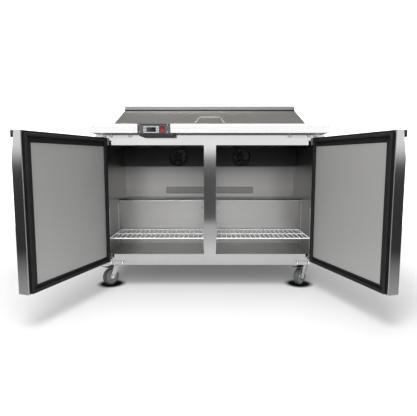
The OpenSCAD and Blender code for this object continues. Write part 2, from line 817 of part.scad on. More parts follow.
module evaporator_cover() {
    z1 = head_z - gap;
    color([0.08, 0.08, 0.09]) {
        difference() {
            block([-cavity_x + gap, cover_y, cover_z0], [cavity_x - gap, cover_y + 2, z1]);
            for (x = [-fan_x, fan_x])
                rod([x, cover_y - 5, fan_z], [x, cover_y + 5, fan_z], fan_r + 4);
        }
        block([-cavity_x + gap, cover_y, cover_z0], [cavity_x - gap, upper_y - gap, cover_z0 + 2]);
        block([-cavity_x + gap, upper_y - gap - 2, cover_z0], [cavity_x - gap, upper_y - gap, cover_z0 + 8]);
    }
}

module evaporator_coil() {
    fins = 26;
    color("lightsteelblue") {
        for (i = [0 : fins - 1]) {
            x = -390 + i * 780 / (fins - 1);
            block([x - 0.8, 163, 684], [x + 0.8, 184, 778]);
        }
        for (z = [700, 730, 760]) {
            for (y = [168.5, 178.5]) rod([-398, y, z], [398, y, z], 3.5);
            translate([398, 173.5, z]) rotate([90, 0, 0]) elbow(5, 3.5, -90, 90);
            translate([-398, 173.5, z]) rotate([90, 0, 0]) elbow(5, 3.5, 90, 270);
        }
    }
}

// Guard of an evaporator fan: a ring and a hub joined by straight ribs
module fan_guard(x) {
    translate([x, cover_y - 3.2, fan_z]) rotate([-90, 0, 0]) {
        difference() {
            cylinder(h = 3, r = fan_r + 9);
            translate([0, 0, -1]) cylinder(h = 5, r = fan_r + 3);
        }
        for (r = [18, 30, 41])
            difference() {
                cylinder(h = 2, r = r + 1);
                translate([0, 0, -1]) cylinder(h = 5, r = r - 1);
            }
        cylinder(h = 2, r = 9);
        for (i = [0 : 5]) rotate([0, 0, 60 * i + 15]) translate([0, -1.2, 0]) cube([fan_r + 5, 2.4, 2]);
    }
}

// Tube and three arms that hold a fan motor behind its rotor
module motor_mount(r, depth, hub_r, tail) {
    difference() {
        cylinder(h = depth, r = r + 2);
        translate([0, 0, -1]) cylinder(h = depth + 2, r = r);
    }
    for (i = [0 : 2]) rotate([0, 0, 120 * i + 90])
        translate([hub_r + 1.5, -5, depth - 3]) cube([r - hub_r - 0.5, 10, 2]);
    difference() {
        translate([0, 0, depth - 4]) cylinder(h = 4 + tail, r = hub_r + 3);
        translate([0, 0, depth - 5]) cylinder(h = 20 + tail, r = hub_r);
    }
}

module fan_shrouds() {
    color([0.1, 0.1, 0.1]) {
        for (x = [-fan_x, fan_x]) {
            fan_guard(x);
            translate([x, cover_y + 2.1, fan_z]) rotate([-90, 0, 0]) motor_mount(fan_r + 3, 25, motor_r, 3);
        }
        translate([cond_x, 258, cond_z]) rotate([90, 0, 0]) {
            difference() {
                translate([-180, -121, 0]) cube([360, 242, 2]);
                translate([0, 0, -1]) cylinder(h = 5, r = cond_r + 4);
            }
            motor_mount(cond_r + 4, 48, 34, 6);
        }
    }
}

module fan_motors() {
    color("dimgray") {
        for (x = [-fan_x, fan_x]) difference() {
            rod([x, cover_y + 24, fan_z], [x, 160, fan_z], motor_r - gap);
            rod([x, cover_y + 23, fan_z], [x, 156, fan_z], 3 + run_gap);
        }
        difference() {
            rod([cond_x, 150, cond_z], [cond_x, 214, cond_z], 34 - gap);
            rod([cond_x, 190, cond_z], [cond_x, 220, cond_z], 5 + run_gap);
        }
    }
}

// Hub, five pitched blades and the shaft, spinning about Y
module rotor(r, hub_r, depth, blade_l, shaft_r, shaft_l) {
    cylinder(h = depth, r = hub_r);
    translate([0, 0, depth]) cylinder(h = shaft_l, r = shaft_r);
    intersection() {
        cylinder(h = depth, r = r);
        for (i = [0 : 4]) rotate([0, 0, 72 * i]) translate([hub_r - 4, 0, depth / 2]) rotate([32, 0, 0])
            translate([0, -blade_l / 2, -1]) cube([r, blade_l, 2]);
    }
}

module evaporator_rotor(x) {
    color([0.12, 0.12, 0.12]) translate([x, cover_y + 5, fan_z]) rotate([-90, 0, 0])
        rotor(fan_r, 15, 17, 34, 3, 12);
}
module left_fan_rotor() { evaporator_rotor(-fan_x); }
module right_fan_rotor() { evaporator_rotor(fan_x); }
module condenser_fan_rotor() {
    color([0.12, 0.12, 0.12]) translate([cond_x, 250, cond_z]) rotate([90, 0, 0])
        rotor(cond_r, 26, 32, 70, 5, 22);
}

// Centre rear post, slotted strips and the clips that carry the shelves
module shelf_supports() {
    strip_z0 = 205;
    strip_z1 = 445;
    clip_z1 = shelf_z - 7.5;
    color("dimgray") difference() {
        block([-post_half_w, hump_y - post_d, floor_z + gap], [post_half_w, hump_y - gap, hump_z - 14]);
        block([-post_half_w + 1.5, hump_y - post_d + 1.5, 0], [post_half_w - 1.5, hump_y + 1, 500]);
        for (x = [-44, -30, 30, 44])
            for (i = [0 : 15])
                block([x - 2.5, hump_y - post_d - 1, 206 + 15.5 * i],
                      [x + 2.5, hump_y - post_d + 5, 213 + 15.5 * i]);
    }
    color("silver") both_sides() {
        for (y = [liner_y + 12, -70]) {
            difference() {
                block([cavity_x - 2.2, y, strip_z0], [cavity_x - gap, y + 16, strip_z1]);
                for (i = [0 : 8])
                    block([cavity_x - 5, y + 5, strip_z0 + 10 + 25 * i],
                          [cavity_x + 5, y + 11, strip_z0 + 18 + 25 * i]);
            }
            block([cavity_x - 14, y + 2, clip_z1 - 5], [cavity_x - 2.2, y + 14, clip_z1]);
        }
        difference() {
            block([mullion_half_w + gap, face_y + 20, strip_z0], [mullion_half_w + 2, face_y + 36, strip_z1]);
            for (i = [0 : 8])
                block([mullion_half_w - 5, face_y + 25, strip_z0 + 10 + 25 * i],
                      [mullion_half_w + 5, face_y + 31, strip_z0 + 18 + 25 * i]);
        }
        block([mullion_half_w + 2, face_y + 22, clip_z1 - 5], [mullion_half_w + 14, face_y + 34, clip_z1]);
        block([mullion_half_w + 5, hump_y - post_d - 14, clip_z1 - 5],
              [mullion_half_w + 15, hump_y - post_d, clip_z1]);
    }
}

// Coated wire shelf between two x limits
module wire_shelf(x0, x1) {
    y0 = face_y + 19;
    y1 = hump_y - post_d - 4;
    thin = 2;
    thick = 3;
    color("white") {
        for (i = [0 : shelf_wires - 1]) {
            x = x0 + thick + (x1 - x0 - 2 * thick) * i / (shelf_wires - 1);
            rod([x, y0 + thick, shelf_z - thin], [x, y1 - thick, shelf_z - thin], thin);
        }
        for (y = [y0 + thick, (y0 + y1) / 2, y1 - thick])
            rod([x0, y, shelf_z - thin - thick + 0.8], [x1, y, shelf_z - thin - thick + 0.8], thick);
    }
}
module right_shelf() { wire_shelf(mullion_half_w + 4, cavity_x - 5); }
module left_shelf() { wire_shelf(-cavity_x + 5, -mullion_half_w - 4); }

// ---- condensing unit ----

module compressor() {
    z0 = base_z + 2;
    color([0.1, 0.1, 0.1]) translate([-300, 190, 0]) {
        translate([0, 0, z0 + 20]) rotate_extrude() {
            square([74, 165]);
            translate([0, 6]) square([80, 60]);
            translate([0, 80]) square([78, 60]);
        }
        translate([0, 0, z0 + 184]) cylinder(h = 12, r1 = 66, r2 = 40, $fn = 48);
        translate([-105, -80, z0 + 16]) cube([210, 160, 4]);
        for (sx = [-1, 1])
            for (sy = [-1, 1]) translate([sx * 92, sy * 67, z0]) cylinder(h = 16.5, r = 12);
        translate([70, -30, z0 + 60]) cube([40, 60, 70]);
    }
}

module condenser_coil() {
    fins = 24;
    x0 = cond_x - 175;
    x1 = cond_x + 175;
    color("dimgray") {
        for (i = [0 : fins - 1]) {
            x = x0 + i * (x1 - x0) / (fins - 1);
            block([x - 1, 264, base_z + 25], [x + 1, 304, 395]);
        }
        for (z = [175, 215, 255, 295, 335, 375]) {
            for (y = [273, 295]) rod([x0 - 8, y, z], [x1 + 8, y, z], 5);
            translate([x1 + 8, 284, z]) rotate([90, 0, 0]) elbow(11, 5, -90, 90);
            translate([x0 - 8, 284, z]) rotate([90, 0, 0]) elbow(11, 5, 90, 270);
        }
        for (x = [x0 - 3, x1 + 1]) block([x, 262, base_z + 2], [x + 2, 306, 400]);
    }
}

module refrigerant_pipes() {
    color("peru") {
        // suction line from the evaporator to the compressor
        pipe([[-408, 178.5, 740], [-400, 230, 740], [-400, 230, 390], [-400, 210, 390], [-395, 210, 300],
              [-381, 205, 300]], 5);
        // discharge line from the compressor to the condenser
        pipe([[-219, 190, 280], [-180, 190, 280], [-180, 284, 280], [-60, 284, 375], [20.5, 284, 375]], 4);
        // liquid line through the filter drier to the evaporator
        pipe([[20.5, 284, 175], [0, 284, 175], [-20, 240, 175], [-20, 100, 175], [-430, 100, 175],
              [-430, 100, 395], [-430, 230, 395], [-430, 230, 700], [-414, 205, 700], [-414, 178.5, 700],
              [-407, 178.5, 700]], 3);
        rod([-60, 100, 175], [-150, 100, 175], 11);
    }
}

// Junction box on the back with the gland that a supply cord would enter
module power_inlet() {
    x = half_w - 39;
    color([0.12, 0.12, 0.12]) difference() {
        union() {
            block([x - 23, back_y + 0.1, 196], [x + 23, back_y + 16, 252]);
            translate([x, back_y + 15, 224]) rotate([-90, 0, 0]) cylinder(h = 9, r = 13, $fn = 6);
            translate([x, back_y + 15, 224]) rotate([-90, 0, 0]) cylinder(h = 20, r = 9.5);
        }
        translate([x, back_y + 11, 224]) rotate([-90, 0, 0]) cylinder(h = 30, r = gland_r);
    }
}

// ---- casters ----

// Places a caster part, drawn with its trail along +X, on one of the four swivels
module at_caster(i) {
    sx = i % 2 == 0 ? -1 : 1;
    sy = i < 2 ? -1 : 1;
    translate([sx * caster_x, sy * caster_y, 0]) rotate([0, 0, caster_turn[i]]) children();
}

module fork(braked) {
    z0 = crown_z1 - crown_t;
    color("silver") {
        difference() {
            translate([0, 0, z0]) cylinder(h = crown_t, r = race_r + 2);
            translate([0, 0, z0 - 1]) cylinder(h = crown_t + 2, r = kingpin_r + run_gap);
        }
        for (s = [-1, 1]) translate([0, s * (leg_in + leg_t / 2) + leg_t / 2, 0]) rotate([90, 0, 0])
            linear_extrude(leg_t) {
                polygon([[-20, crown_z1], [28, crown_z1],
                         [caster_trail + 13, wheel_r], [caster_trail - 13, wheel_r]]);
                translate([caster_trail, wheel_r]) circle(13);
            }
        rod([caster_trail, -leg_in - leg_t - 5, wheel_r], [caster_trail, leg_in + leg_t + 5, wheel_r], axle_r);
        for (s = [-1, 1])
            rod([caster_trail, s * (leg_in + leg_t - 0.5), wheel_r],
                [caster_trail, s * (leg_in + leg_t + 4), wheel_r], 8);
        if (braked) rod([lever_x, -leg_in - 1, lever_z], [lever_x, leg_in + 1, lever_z], 3);
    }
}

module wheel() {
    color("gray") translate([caster_trail, wheel_w / 2, wheel_r]) rotate([90, 0, 0]) rotate_extrude($fn = 96)
        polygon([
            [axle_r + run_gap, 0], [12, 0], [14, 3], [34, 3], [37, 1], [wheel_r - 5, 1], [wheel_r - 1, 5],
            [wheel_r, 11], [wheel_r, wheel_w - 11], [wheel_r - 1, wheel_w - 5], [wheel_r - 5, wheel_w - 1],
            [37, wheel_w - 1], [34, wheel_w - 3], [14, wheel_w - 3], [12, wheel_w], [axle_r + run_gap, wheel_w]
        ]);
}

// Foot lever over the wheel; its tread plate tips up at the end
module brake_lever() {
    half = leg_in - 1;
    color("gray") difference() {
        union() {
            rod([lever_x, -half, lever_z], [lever_x, half, lever_z], 4.8);
            block([lever_x, -half, lever_z - 1.5], [72, half, lever_z + 1.5]);
            translate([71, -half - 4, lever_z - 1.5]) rotate([0, -22, 0]) cube([22, 2 * half + 8, 3]);
        }
        rod([lever_x, -half - 5, lever_z], [lever_x, half + 5, lever_z], 3 + run_gap);
    }
}

module front_left_fork() { at_caster(0) fork(true); }
module front_right_fork() { at_caster(1) fork(true); }
module rear_left_fork() { at_caster(2) fork(false); }
module rear_right_fork() { at_caster(3) fork(false); }
module front_left_wheel() { at_caster(0) wheel(); }
module front_right_wheel() { at_caster(1) wheel(); }
module rear_left_wheel() { at_caster(2) wheel(); }
module rear_right_wheel() { at_caster(3) wheel(); }
module left_brake_lever() { at_caster(0) brake_lever(); }
module right_brake_lever() { at_caster(1) brake_lever(); }

cabinet_wrapper();
base_frame();
cavity_liner();
cabinet_foam();
face_frame();
rear_louvre_panel();
worktop();
rear_hood();
divider_bars();
food_pans();
controller_housing();
display_bezel();
display_window();
evaporator_cover();
evaporator_coil();
fan_shrouds();
fan_motors();
rear_inner_panel();
shelf_supports();
compressor();
condenser_coil();
refrigerant_pipes();
hinge_brackets();
power_inlet();
left_door_skin();
left_door_core();
left_door_panel();
left_door_gasket();
left_door_handle();
left_door_bushings();
right_door_skin();
right_door_core();
right_door_panel();
right_door_gasket();
right_door_handle();
right_door_bushings();
lid_skin();
lid_core();
lid_handle();
cutting_board();
left_shelf();
right_shelf();
left_fan_rotor();
right_fan_rotor();
condenser_fan_rotor();
power_rocker();
key_up();
key_down();
key_set();
key_defrost();
front_left_fork();
front_right_fork();
rear_left_fork();
rear_right_fork();
front_left_wheel();
front_right_wheel();
rear_left_wheel();
rear_right_wheel();
left_brake_lever();
right_brake_lever();
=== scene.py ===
import json
import math

import bmesh
import bpy
from mathutils import Matrix, Vector


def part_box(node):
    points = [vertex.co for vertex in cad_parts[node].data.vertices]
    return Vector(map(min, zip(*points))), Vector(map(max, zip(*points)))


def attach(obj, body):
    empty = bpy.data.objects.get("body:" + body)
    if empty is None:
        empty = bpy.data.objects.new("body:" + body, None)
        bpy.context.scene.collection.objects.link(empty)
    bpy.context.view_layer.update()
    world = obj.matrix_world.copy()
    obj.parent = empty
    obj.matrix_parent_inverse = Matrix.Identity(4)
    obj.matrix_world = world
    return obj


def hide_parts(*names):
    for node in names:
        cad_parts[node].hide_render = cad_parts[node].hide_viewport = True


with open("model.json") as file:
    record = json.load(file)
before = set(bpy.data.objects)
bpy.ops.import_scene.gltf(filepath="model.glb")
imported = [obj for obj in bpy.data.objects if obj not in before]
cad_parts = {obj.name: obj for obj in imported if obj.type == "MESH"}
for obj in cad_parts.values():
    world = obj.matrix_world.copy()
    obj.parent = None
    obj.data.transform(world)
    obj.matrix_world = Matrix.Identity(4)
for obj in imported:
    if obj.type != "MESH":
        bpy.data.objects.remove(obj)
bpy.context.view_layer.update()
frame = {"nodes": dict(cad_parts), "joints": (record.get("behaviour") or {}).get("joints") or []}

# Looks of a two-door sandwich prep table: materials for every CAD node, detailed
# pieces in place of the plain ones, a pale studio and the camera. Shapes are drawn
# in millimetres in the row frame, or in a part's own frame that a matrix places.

NODES = frame["nodes"]
JOINTS = {joint["name"]: joint for joint in frame["joints"]}
MM = 0.001

# Places that the CAD model also uses
DOOR_OPEN = {side: -JOINTS[side + "_door_hinge"]["range_deg"][0] for side in ("left", "right")}
DOOR_PIVOT = Vector(JOINTS["right_door_hinge"]["pos_m"]) / MM
DOOR_LEFT, DOOR_RIGHT = 3.5, 607.0          # of a closed right-hand door
DOOR_LOW, DOOR_HIGH = 156.2, 825.2
DOOR_BACK = -345.0                          # rear face of the closed door
FACE_Y = -331.0
FAN_X, FAN_Z, FAN_COVER_Y = 204.0, 728.0, 116.4
CONDENSER_FAN = Vector((220.0, 258.0, 272.0))
HEAD_Z = 787.3                              # the cavity's ceiling
LID_FOLD_Z = 1029.0                         # where the lid's slope meets its rear band
CASTERS = ("front_left", "front_right", "rear_left", "rear_right")
WHEEL_R, WHEEL_W, TRAIL = 47.5, 27.0, 40.0

HEM_W = 5.0         # width of the sheet folded over a door's free edge

# In a caster's own frame: (x, y, z) of the axle, (x, z) of the brake lever's pin
AXLE = (TRAIL, 0, WHEEL_R)
BRAKE_PIVOT = (22.0, 105.5)

# The camera that the photo's perspective gave
CAMERA_PLACE = Vector((-7.8, -2523.8, 705.3)) * MM
CAMERA_DOWN = 6.7                           # degrees below level
LENS = 34.88


def box_mm(node):
    """Lowest and highest corner of a CAD node, in millimetres."""
    low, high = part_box(node)
    return low / MM, high / MM


# ------------------------------------------------------------- shape building

class Shape:
    """Gathers closed shapes in one mesh. Its matrix places what is drawn next."""

    def __init__(self, matrix=None):
        self.bm = bmesh.new()
        self.matrix = matrix or Matrix.Identity(4)
        self.paint = 0

    def loft(self, rings, loop=False):
        """Skins a row of rings, each with the same number of points."""
        rows = [[self.bm.verts.new(self.matrix @ Vector(p)) for p in ring] for ring in rings]
        after = rows[1:] + (rows[:1] if loop else [])
        for a, b in zip(rows, after):
            for i in range(len(a)):
                j = (i + 1) % len(a)
                self.face((a[i], a[j], b[j], b[i]))
        if not loop:
            self.face(rows[0][::-1])
            self.face(rows[-1])

    def face(self, verts):
        made = self.bm.faces.new(verts)
        made.material_index = self.paint

    def prism(self, outline, low, high, axis="y"):
        """An outline pushed along an axis: on y it is drawn as (x, z), on z as (x, y)."""
        point = {"y": lambda u, v, t: (u, t, v), "z": lambda u, v, t: (u, v, t)}[axis]
        self.loft([[point(u, v, t) for u, v in outline] for t in (low, high)])

    def block(self, low, high):
        outline = [(low[0], low[1]), (high[0], low[1]), (high[0], high[1]), (low[0], high[1])]
        self.prism(outline, low[2], high[2], "z")

    def turned(self, profile, base, axis, steps=32):
        """A solid of revolution: profile is (radius, height) from one end to the other."""
        point = around_axis(base, axis)
        self.loft([[point(radius, a, height) for a in turns(steps)] for radius, height in profile])

    def ring(self, section, base, axis, steps=48):
        """A closed section of (radius, height) points taken all the way round an axis."""
        point = around_axis(base, axis)
        self.loft([[point(radius, a, height) for radius, height in section] for a in turns(steps)], True)

    def wire_ring(self, radius, thickness, base, axis):
        self.ring(arc_points((radius, 0), thickness, 0, 315, 7), base, axis, 64)

    def tube(self, points, radius, bend=0.0, steps=10):
        """A round rod along a path whose corners are rounded to the bend radius."""
        path = rounded_path([Vector(p) for p in points], bend)
        side = None
        rings = []
        for before, point, after in zip(path[:1] + path, path, path[1:] + path[-1:]):
            ahead = (after - before).normalized()
            if side is None:
                side = ahead.orthogonal().normalized()
            side = (side - ahead * side.dot(ahead)).normalized()
            up = ahead.cross(side)
            rings.append([point + radius * (math.cos(a) * side + math.sin(a) * up) for a in turns(steps)])
        self.loft(rings)

    def make(self, name, body, materials, replaces=(), soften_by=0.0, smooth_deg=35):
        """Turns what was gathered into a piece that rides on a body."""
        bmesh.ops.recalc_face_normals(self.bm, faces=self.bm.faces)
        bmesh.ops.scale(self.bm, vec=(MM, MM, MM), verts=self.bm.verts)
        mesh = bpy.data.meshes.new(name)
        self.bm.to_mesh(mesh)
        self.bm.free()
        mesh.shade_smooth()
        mesh.set_sharp_from_angle(angle=math.radians(smooth_deg))
        for material in materials:
            mesh.materials.append(material)
        obj = bpy.data.objects.new(name, mesh)
        bpy.context.scene.collection.objects.link(obj)
        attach(obj, body)
        if replaces:
            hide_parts(*replaces)
        if soften_by:
            soften(obj, soften_by * MM)
        return obj


def turns(steps):
    """Angles in radians of a full circle in equal steps."""
    return [2 * math.pi * i / steps for i in range(steps)]


def axis_turn(axis):
    """The turn that brings +Z to an axis."""
    return Vector(axis).to_track_quat("Z", "X").to_matrix()


def around_axis(base, axis):
    """A function that gives the point at a radius, angle and height on an axis through the base."""
    turn = axis_turn(axis)
    return lambda r, a, height: Vector(base) + turn @ Vector((r * math.cos(a), r * math.sin(a), height))


def arc(start, end, steps):
    """Angles in radians from start to end, both in degrees, ends included."""
    return [math.radians(start + (end - start) * i / steps) for i in range(steps + 1)]


def arc_points(centre, radius, start, end, steps):
    x, y = centre
    return [(x + radius * math.cos(a), y + radius * math.sin(a)) for a in arc(start, end, steps)]


def rounded_rect(low, high, radius):
    """Outline of a rectangle with round corners, anticlockwise."""
    x0, y0, x1, y1 = low[0] + radius, low[1] + radius, high[0] - radius, high[1] - radius
    corners = (((x1, y0), -90), ((x1, y1), 0), ((x0, y1), 90), ((x0, y0), 180))
    outline = []
    for centre, start in corners:
        outline += arc_points(centre, radius, start, start + 90, 5)
    return outline


def rounded_path(points, bend):
    """A polyline with each corner replaced by a short curve."""
    if bend <= 0:
        return points
    steps = 6
    path = [points[0]]
    for before, corner, after in zip(points, points[1:], points[2:]):
        back, ahead = before - corner, after - corner
        reach = min(bend, 0.45 * back.length, 0.45 * ahead.length)
        start, end = corner + back.normalized() * reach, corner + ahead.normalized() * reach
        for k in range(steps + 1):
            t = k / steps
            path.append(start * (1 - t) ** 2 + corner * 2 * t * (1 - t) + end * t * t)
    return path + [points[-1]]


def soften(obj, width):
    """Small bevels on the sharp edges of a piece or CAD node; the mesh itself stays."""
    weld = obj.modifiers.new("weld", "WELD")
    weld.merge_threshold = 0.00001
    edge = obj.modifiers.new("edge", "BEVEL")
    edge.width = width
    edge.segments = 2
    edge.limit_method = "ANGLE"
    edge.angle_limit = math.radians(35)
    normal = obj.modifiers.new("normal", "WEIGHTED_NORMAL")
    normal.keep_sharp = True


def door_matrix(side):
    """From the closed right-hand door to that side's door, standing open."""
    pivot = Matrix.Translation(Vector((DOOR_PIVOT.x, DOOR_PIVOT.y, 0)))
    opened = pivot @ Matrix.Rotation(math.radians(DOOR_OPEN[side]), 4, "Z") @ pivot.inverted()
    return opened if side == "right" else Matrix.Scale(-1, 4, (1, 0, 0)) @ opened


def caster_matrix(corner):
    """From a caster's own frame, with the wheel's axle ahead on +X, to its place."""
    swivel = Vector(JOINTS[corner + "_swivel"]["pos_m"]) / MM
    axle = Vector(JOINTS[corner + "_roll"]["pos_m"]) / MM
    ahead = math.atan2(axle.y - swivel.y, axle.x - swivel.x)
    return Matrix.Translation((swivel.x, swivel.y, 0)) @ Matrix.Rotation(ahead, 4, "Z")


# ---------------------------------------------------------------- node helpers

def shader_of(mat):
    return mat.node_tree.nodes["Principled BSDF"]


def new_material(name):
    """An empty Principled material: (material, node tree, its shader)."""
    mat = bpy.data.materials.new(name)
    mat.use_nodes = True
    return mat, mat.node_tree, shader_of(mat)


def add(tree, kind, **attributes):
    """A node of that kind, with its attributes by name."""
    node = tree.nodes.new(kind)
    for key, value in attributes.items():
        setattr(node, key, value)
    return node


def math_node(tree, operation, *values):
    """The result of one operation whose inputs are numbers or sockets."""
    node = add(tree, "ShaderNodeMath", operation=operation)
    for socket, value in zip(node.inputs, values):
        if isinstance(value, (int, float)):
            socket.default_value = value
        else:
            tree.links.new(value, socket)
    return node.outputs["Value"]


def coordinates(tree, kind):
    """The X, Y and Z sockets of one kind of texture coordinates."""
    split = add(tree, "ShaderNodeSeparateXYZ")
    tree.links.new(add(tree, "ShaderNodeTexCoord").outputs[kind], split.inputs["Vector"])
    return split.outputs


def noise(tree, scale, detail):
    """Noise in object coordinates, scaled per axis so that grain keeps its real size."""
    mapping = add(tree, "ShaderNodeMapping")
    mapping.inputs["Scale"].default_value = scale
    tree.links.new(add(tree, "ShaderNodeTexCoord").outputs["Object"], mapping.inputs["Vector"])
    node = add(tree, "ShaderNodeTexNoise")
    node.inputs["Scale"].default_value = 1.0
    node.inputs["Detail"].default_value = detail
    node.inputs["Roughness"].default_value = 0.55
    tree.links.new(mapping.outputs["Vector"], node.inputs["Vector"])
    return node.outputs["Fac"]


def remap(tree, value, low, high, from_low=0.3, from_high=0.7):
    """Takes a range of a value to another range, with its ends held."""
    node = add(tree, "ShaderNodeMapRange")
    node.inputs["From Min"].default_value = from_low
    node.inputs["From Max"].default_value = from_high
    node.inputs["To Min"].default_value = low
    node.inputs["To Max"].default_value = high
    tree.links.new(value, node.inputs["Value"])
    return node.outputs["Result"]


def tint(tree, value, dark, light):
    """A colour between two by a value from 0 to 1."""
    node = add(tree, "ShaderNodeMix", data_type="RGBA")
    node.inputs["A"].default_value = (*dark, 1)
    node.inputs["B"].default_value = (*light, 1)
    tree.links.new(value, node.inputs["Factor"])
    return node.outputs["Result"]


def colour_ramp(tree, value, stops):
    """Colour by stops of (share, colour) of a value from 0 to 1."""
    node = add(tree, "ShaderNodeValToRGB")
    tree.links.new(value, node.inputs["Fac"])
    elements = node.color_ramp.elements
    while len(elements) < len(stops):
        elements.new(0.5)
    for element, (share, colour) in zip(elements, stops):
        element.position = share
        element.color = (*colour, 1)
    return node.outputs["Color"]


def bump(tree, shader, height, strength, distance):
    node = add(tree, "ShaderNodeBump")
    node.inputs["Strength"].default_value = strength
    node.inputs["Distance"].default_value = distance
    tree.links.new(height, node.inputs["Height"])
    tree.links.new(node.outputs["Normal"], shader.inputs["Normal"])


# ------------------------------------------------------------------- materials

def per_axis(along, along_scale, across_scale):
    """A scale for each axis: one along the grain, one across it."""
    return [along_scale if axis == along else across_scale for axis in "xyz"]


def brushed_steel(name, along, dark, light, rough=(0.24, 0.36), strength=0.12):
    """Stainless sheet with fine grain lines that run along one axis."""
    mat, tree, shader = new_material(name)
    grain = noise(tree, per_axis(along, 18.0, 2600.0), 2.0)
    streaks = noise(tree, per_axis(along, 3.0, 420.0), 3.0)
    cloud = noise(tree, (2.2, 2.2, 2.2), 2.0)
    uneven = remap(tree, math_node(tree, "MULTIPLY", streaks, cloud), 0, 1, 0.12, 0.4)
    tree.links.new(tint(tree, uneven, dark, light), shader.inputs["Base Color"])
    tree.links.new(remap(tree, streaks, *rough), shader.inputs["Roughness"])
    bump(tree, shader, grain, strength, 0.00008)
    shader.inputs["Metallic"].default_value = 1.0
    return mat


def plain_metal(name, dark, light, rough=(0.3, 0.45), scale=60.0, strength=0.15):
    """Zinc plate, cast or drawn metal with a mottled, slightly uneven surface."""
    mat, tree, shader = new_material(name)
    mottle = noise(tree, (scale, scale, scale), 4.0)
    tree.links.new(tint(tree, remap(tree, mottle, 0, 1), dark, light), shader.inputs["Base Color"])
    tree.links.new(remap(tree, mottle, *rough), shader.inputs["Roughness"])
    bump(tree, shader, mottle, strength, 0.0002)
    shader.inputs["Metallic"].default_value = 1.0
    return mat


def moulded(name, dark, light, rough=(0.4, 0.55), grain=900.0, strength=0.12, coat=0.0):
    """Moulded plastic or rubber with a fine leathery grain."""
    mat, tree, shader = new_material(name)
    fine = noise(tree, (grain, grain, grain), 3.0)
    cloud = noise(tree, (14, 14, 14), 2.0)
    tree.links.new(tint(tree, remap(tree, cloud, 0, 1), dark, light), shader.inputs["Base Color"])
    tree.links.new(remap(tree, fine, *rough), shader.inputs["Roughness"])
    bump(tree, shader, fine, strength, 0.0002)
    shader.inputs["Coat Weight"].default_value = coat
    return mat


def grey(value, warm=0.0):
    """A neutral colour, or a slightly warm one."""
    return (value + warm, value, value - warm)


def multiply_colour(mat, factor):
    """Multiplies a material's colour by another colour."""
    tree = mat.node_tree
    base = shader_of(mat).inputs["Base Color"]
    node = add(tree, "ShaderNodeMix", data_type="RGBA", blend_type="MULTIPLY")
    node.inputs["Factor"].default_value = 1.0
    tree.links.new(base.links[0].from_socket, node.inputs["A"])
    tree.links.new(factor, node.inputs["B"])
    tree.links.new(node.outputs["Result"], base)


def paint_along(mat, axis, stops):
    """Multiplies the colour by stops of (share, tone) along an axis of the node's own box.

    A tone is a colour, or a number for a grey.
    """
    tree = mat.node_tree
    colours = [(share, tone if isinstance(tone, tuple) else grey(tone)) for share, tone in stops]
    multiply_colour(mat, colour_ramp(tree, coordinates(tree, "Generated")[axis], colours))


def paint_shade_facing(mat, axis, aside):
    """Painted shade: multiplies the colour by a grey wherever the sheet doesn't face along an axis."""
    tree = mat.node_tree
    facing = math_node(tree, "ABSOLUTE", coordinates(tree, "Normal")[axis])
    multiply_colour(mat, tint(tree, remap(tree, facing, 0, 1), grey(aside), grey(1.0)))


def share_of(node, axis, value):
    """Where a place in millimetres lies between the two ends of a node's box."""
    low, high = box_mm(node)
    i = "xyz".index(axis)
    return (value - low[i]) / (high[i] - low[i])


TOP_STEEL = brushed_steel("worktop_steel", "x", grey(0.78), grey(0.81), (0.14, 0.2), 0.03)
HOOD_STEEL = brushed_steel("hood_steel", "x", grey(0.44), grey(0.50), (0.42, 0.48), 0.04)
STEEL_X = brushed_steel("steel_grain_x", "x", grey(0.46), grey(0.54), (0.12, 0.18), 0.05)
STEEL_Y = brushed_steel("steel_grain_y", "y", grey(0.46), grey(0.54), (0.2, 0.3), 0.08)
STEEL_Z = brushed_steel("steel_grain_z", "z", grey(0.44), grey(0.485), (0.08, 0.12), 0.04)
HEM_STEEL = brushed_steel("hem_steel", "z", grey(0.5), grey(0.56), (0.3, 0.4), 0.04)
PAN = brushed_steel("pan_drawn_steel", "z", grey(0.6), grey(0.7), (0.2, 0.32), 0.08)
DOOR_LINER = brushed_steel(
    "door_liner_sheet", "z", grey(0.40, 0.004), grey(0.43, 0.004), (0.52, 0.58), 0.03,
)
shader_of(DOOR_LINER).inputs["Metallic"].default_value = 0.5

# the lid: a warm slope, a painted shadow along the fold, and a rear band lightened by painted highlight,
# brightest along its top edge
LID_STEEL = brushed_steel("lid_steel", "x", grey(0.42), grey(0.455), (0.40, 0.46), 0.04)
SLOPE_TONE, FOLD_SHADOW_TONE, BAND_HIGHLIGHT_TONE = (0.51, 0.494, 0.452), 0.08, 0.85
LID_FOLD = share_of("lid_skin", "z", LID_FOLD_Z)
paint_along(LID_STEEL, "Z", (
    (LID_FOLD - 0.016, SLOPE_TONE), (LID_FOLD - 0.006, FOLD_SHADOW_TONE), (LID_FOLD + 0.03, FOLD_SHADOW_TONE),
    (LID_FOLD + 0.045, BAND_HIGHLIGHT_TONE), (0.985, BAND_HIGHLIGHT_TONE), (0.992, 1.0),
))

# the cavity: painted shade on its sides and ceiling, and on the rear wall towards its top and middle
LINER = brushed_steel("liner_sheet", "x", grey(0.60, 0.006), grey(0.66, 0.006), (0.28, 0.36), 0.06)
HEAD = share_of("cavity_liner", "z", HEAD_Z)
paint_shade_facing(LINER, "Y", 0.43)
paint_along(LINER, "Z", ((HEAD - 0.004, 1.0), (HEAD - 0.002, 0.1)))
BACK_SHEET = brushed_steel("back_sheet", "x", grey(0.88, 0.012), grey(0.92, 0.012), (0.28, 0.36), 0.06)
paint_along(BACK_SHEET, "X", ((0.0, 1.0), (0.13, 0.95), (0.4, 0.7), (0.6, 0.76), (0.83, 0.8), (1.0, 1.0)))
paint_along(BACK_SHEET, "Z", (
    (0.12, 1.0), (0.26, 0.8), (0.44, 0.65), (0.52, 0.52), (0.61, 0.4), (0.7, 0.33),
))
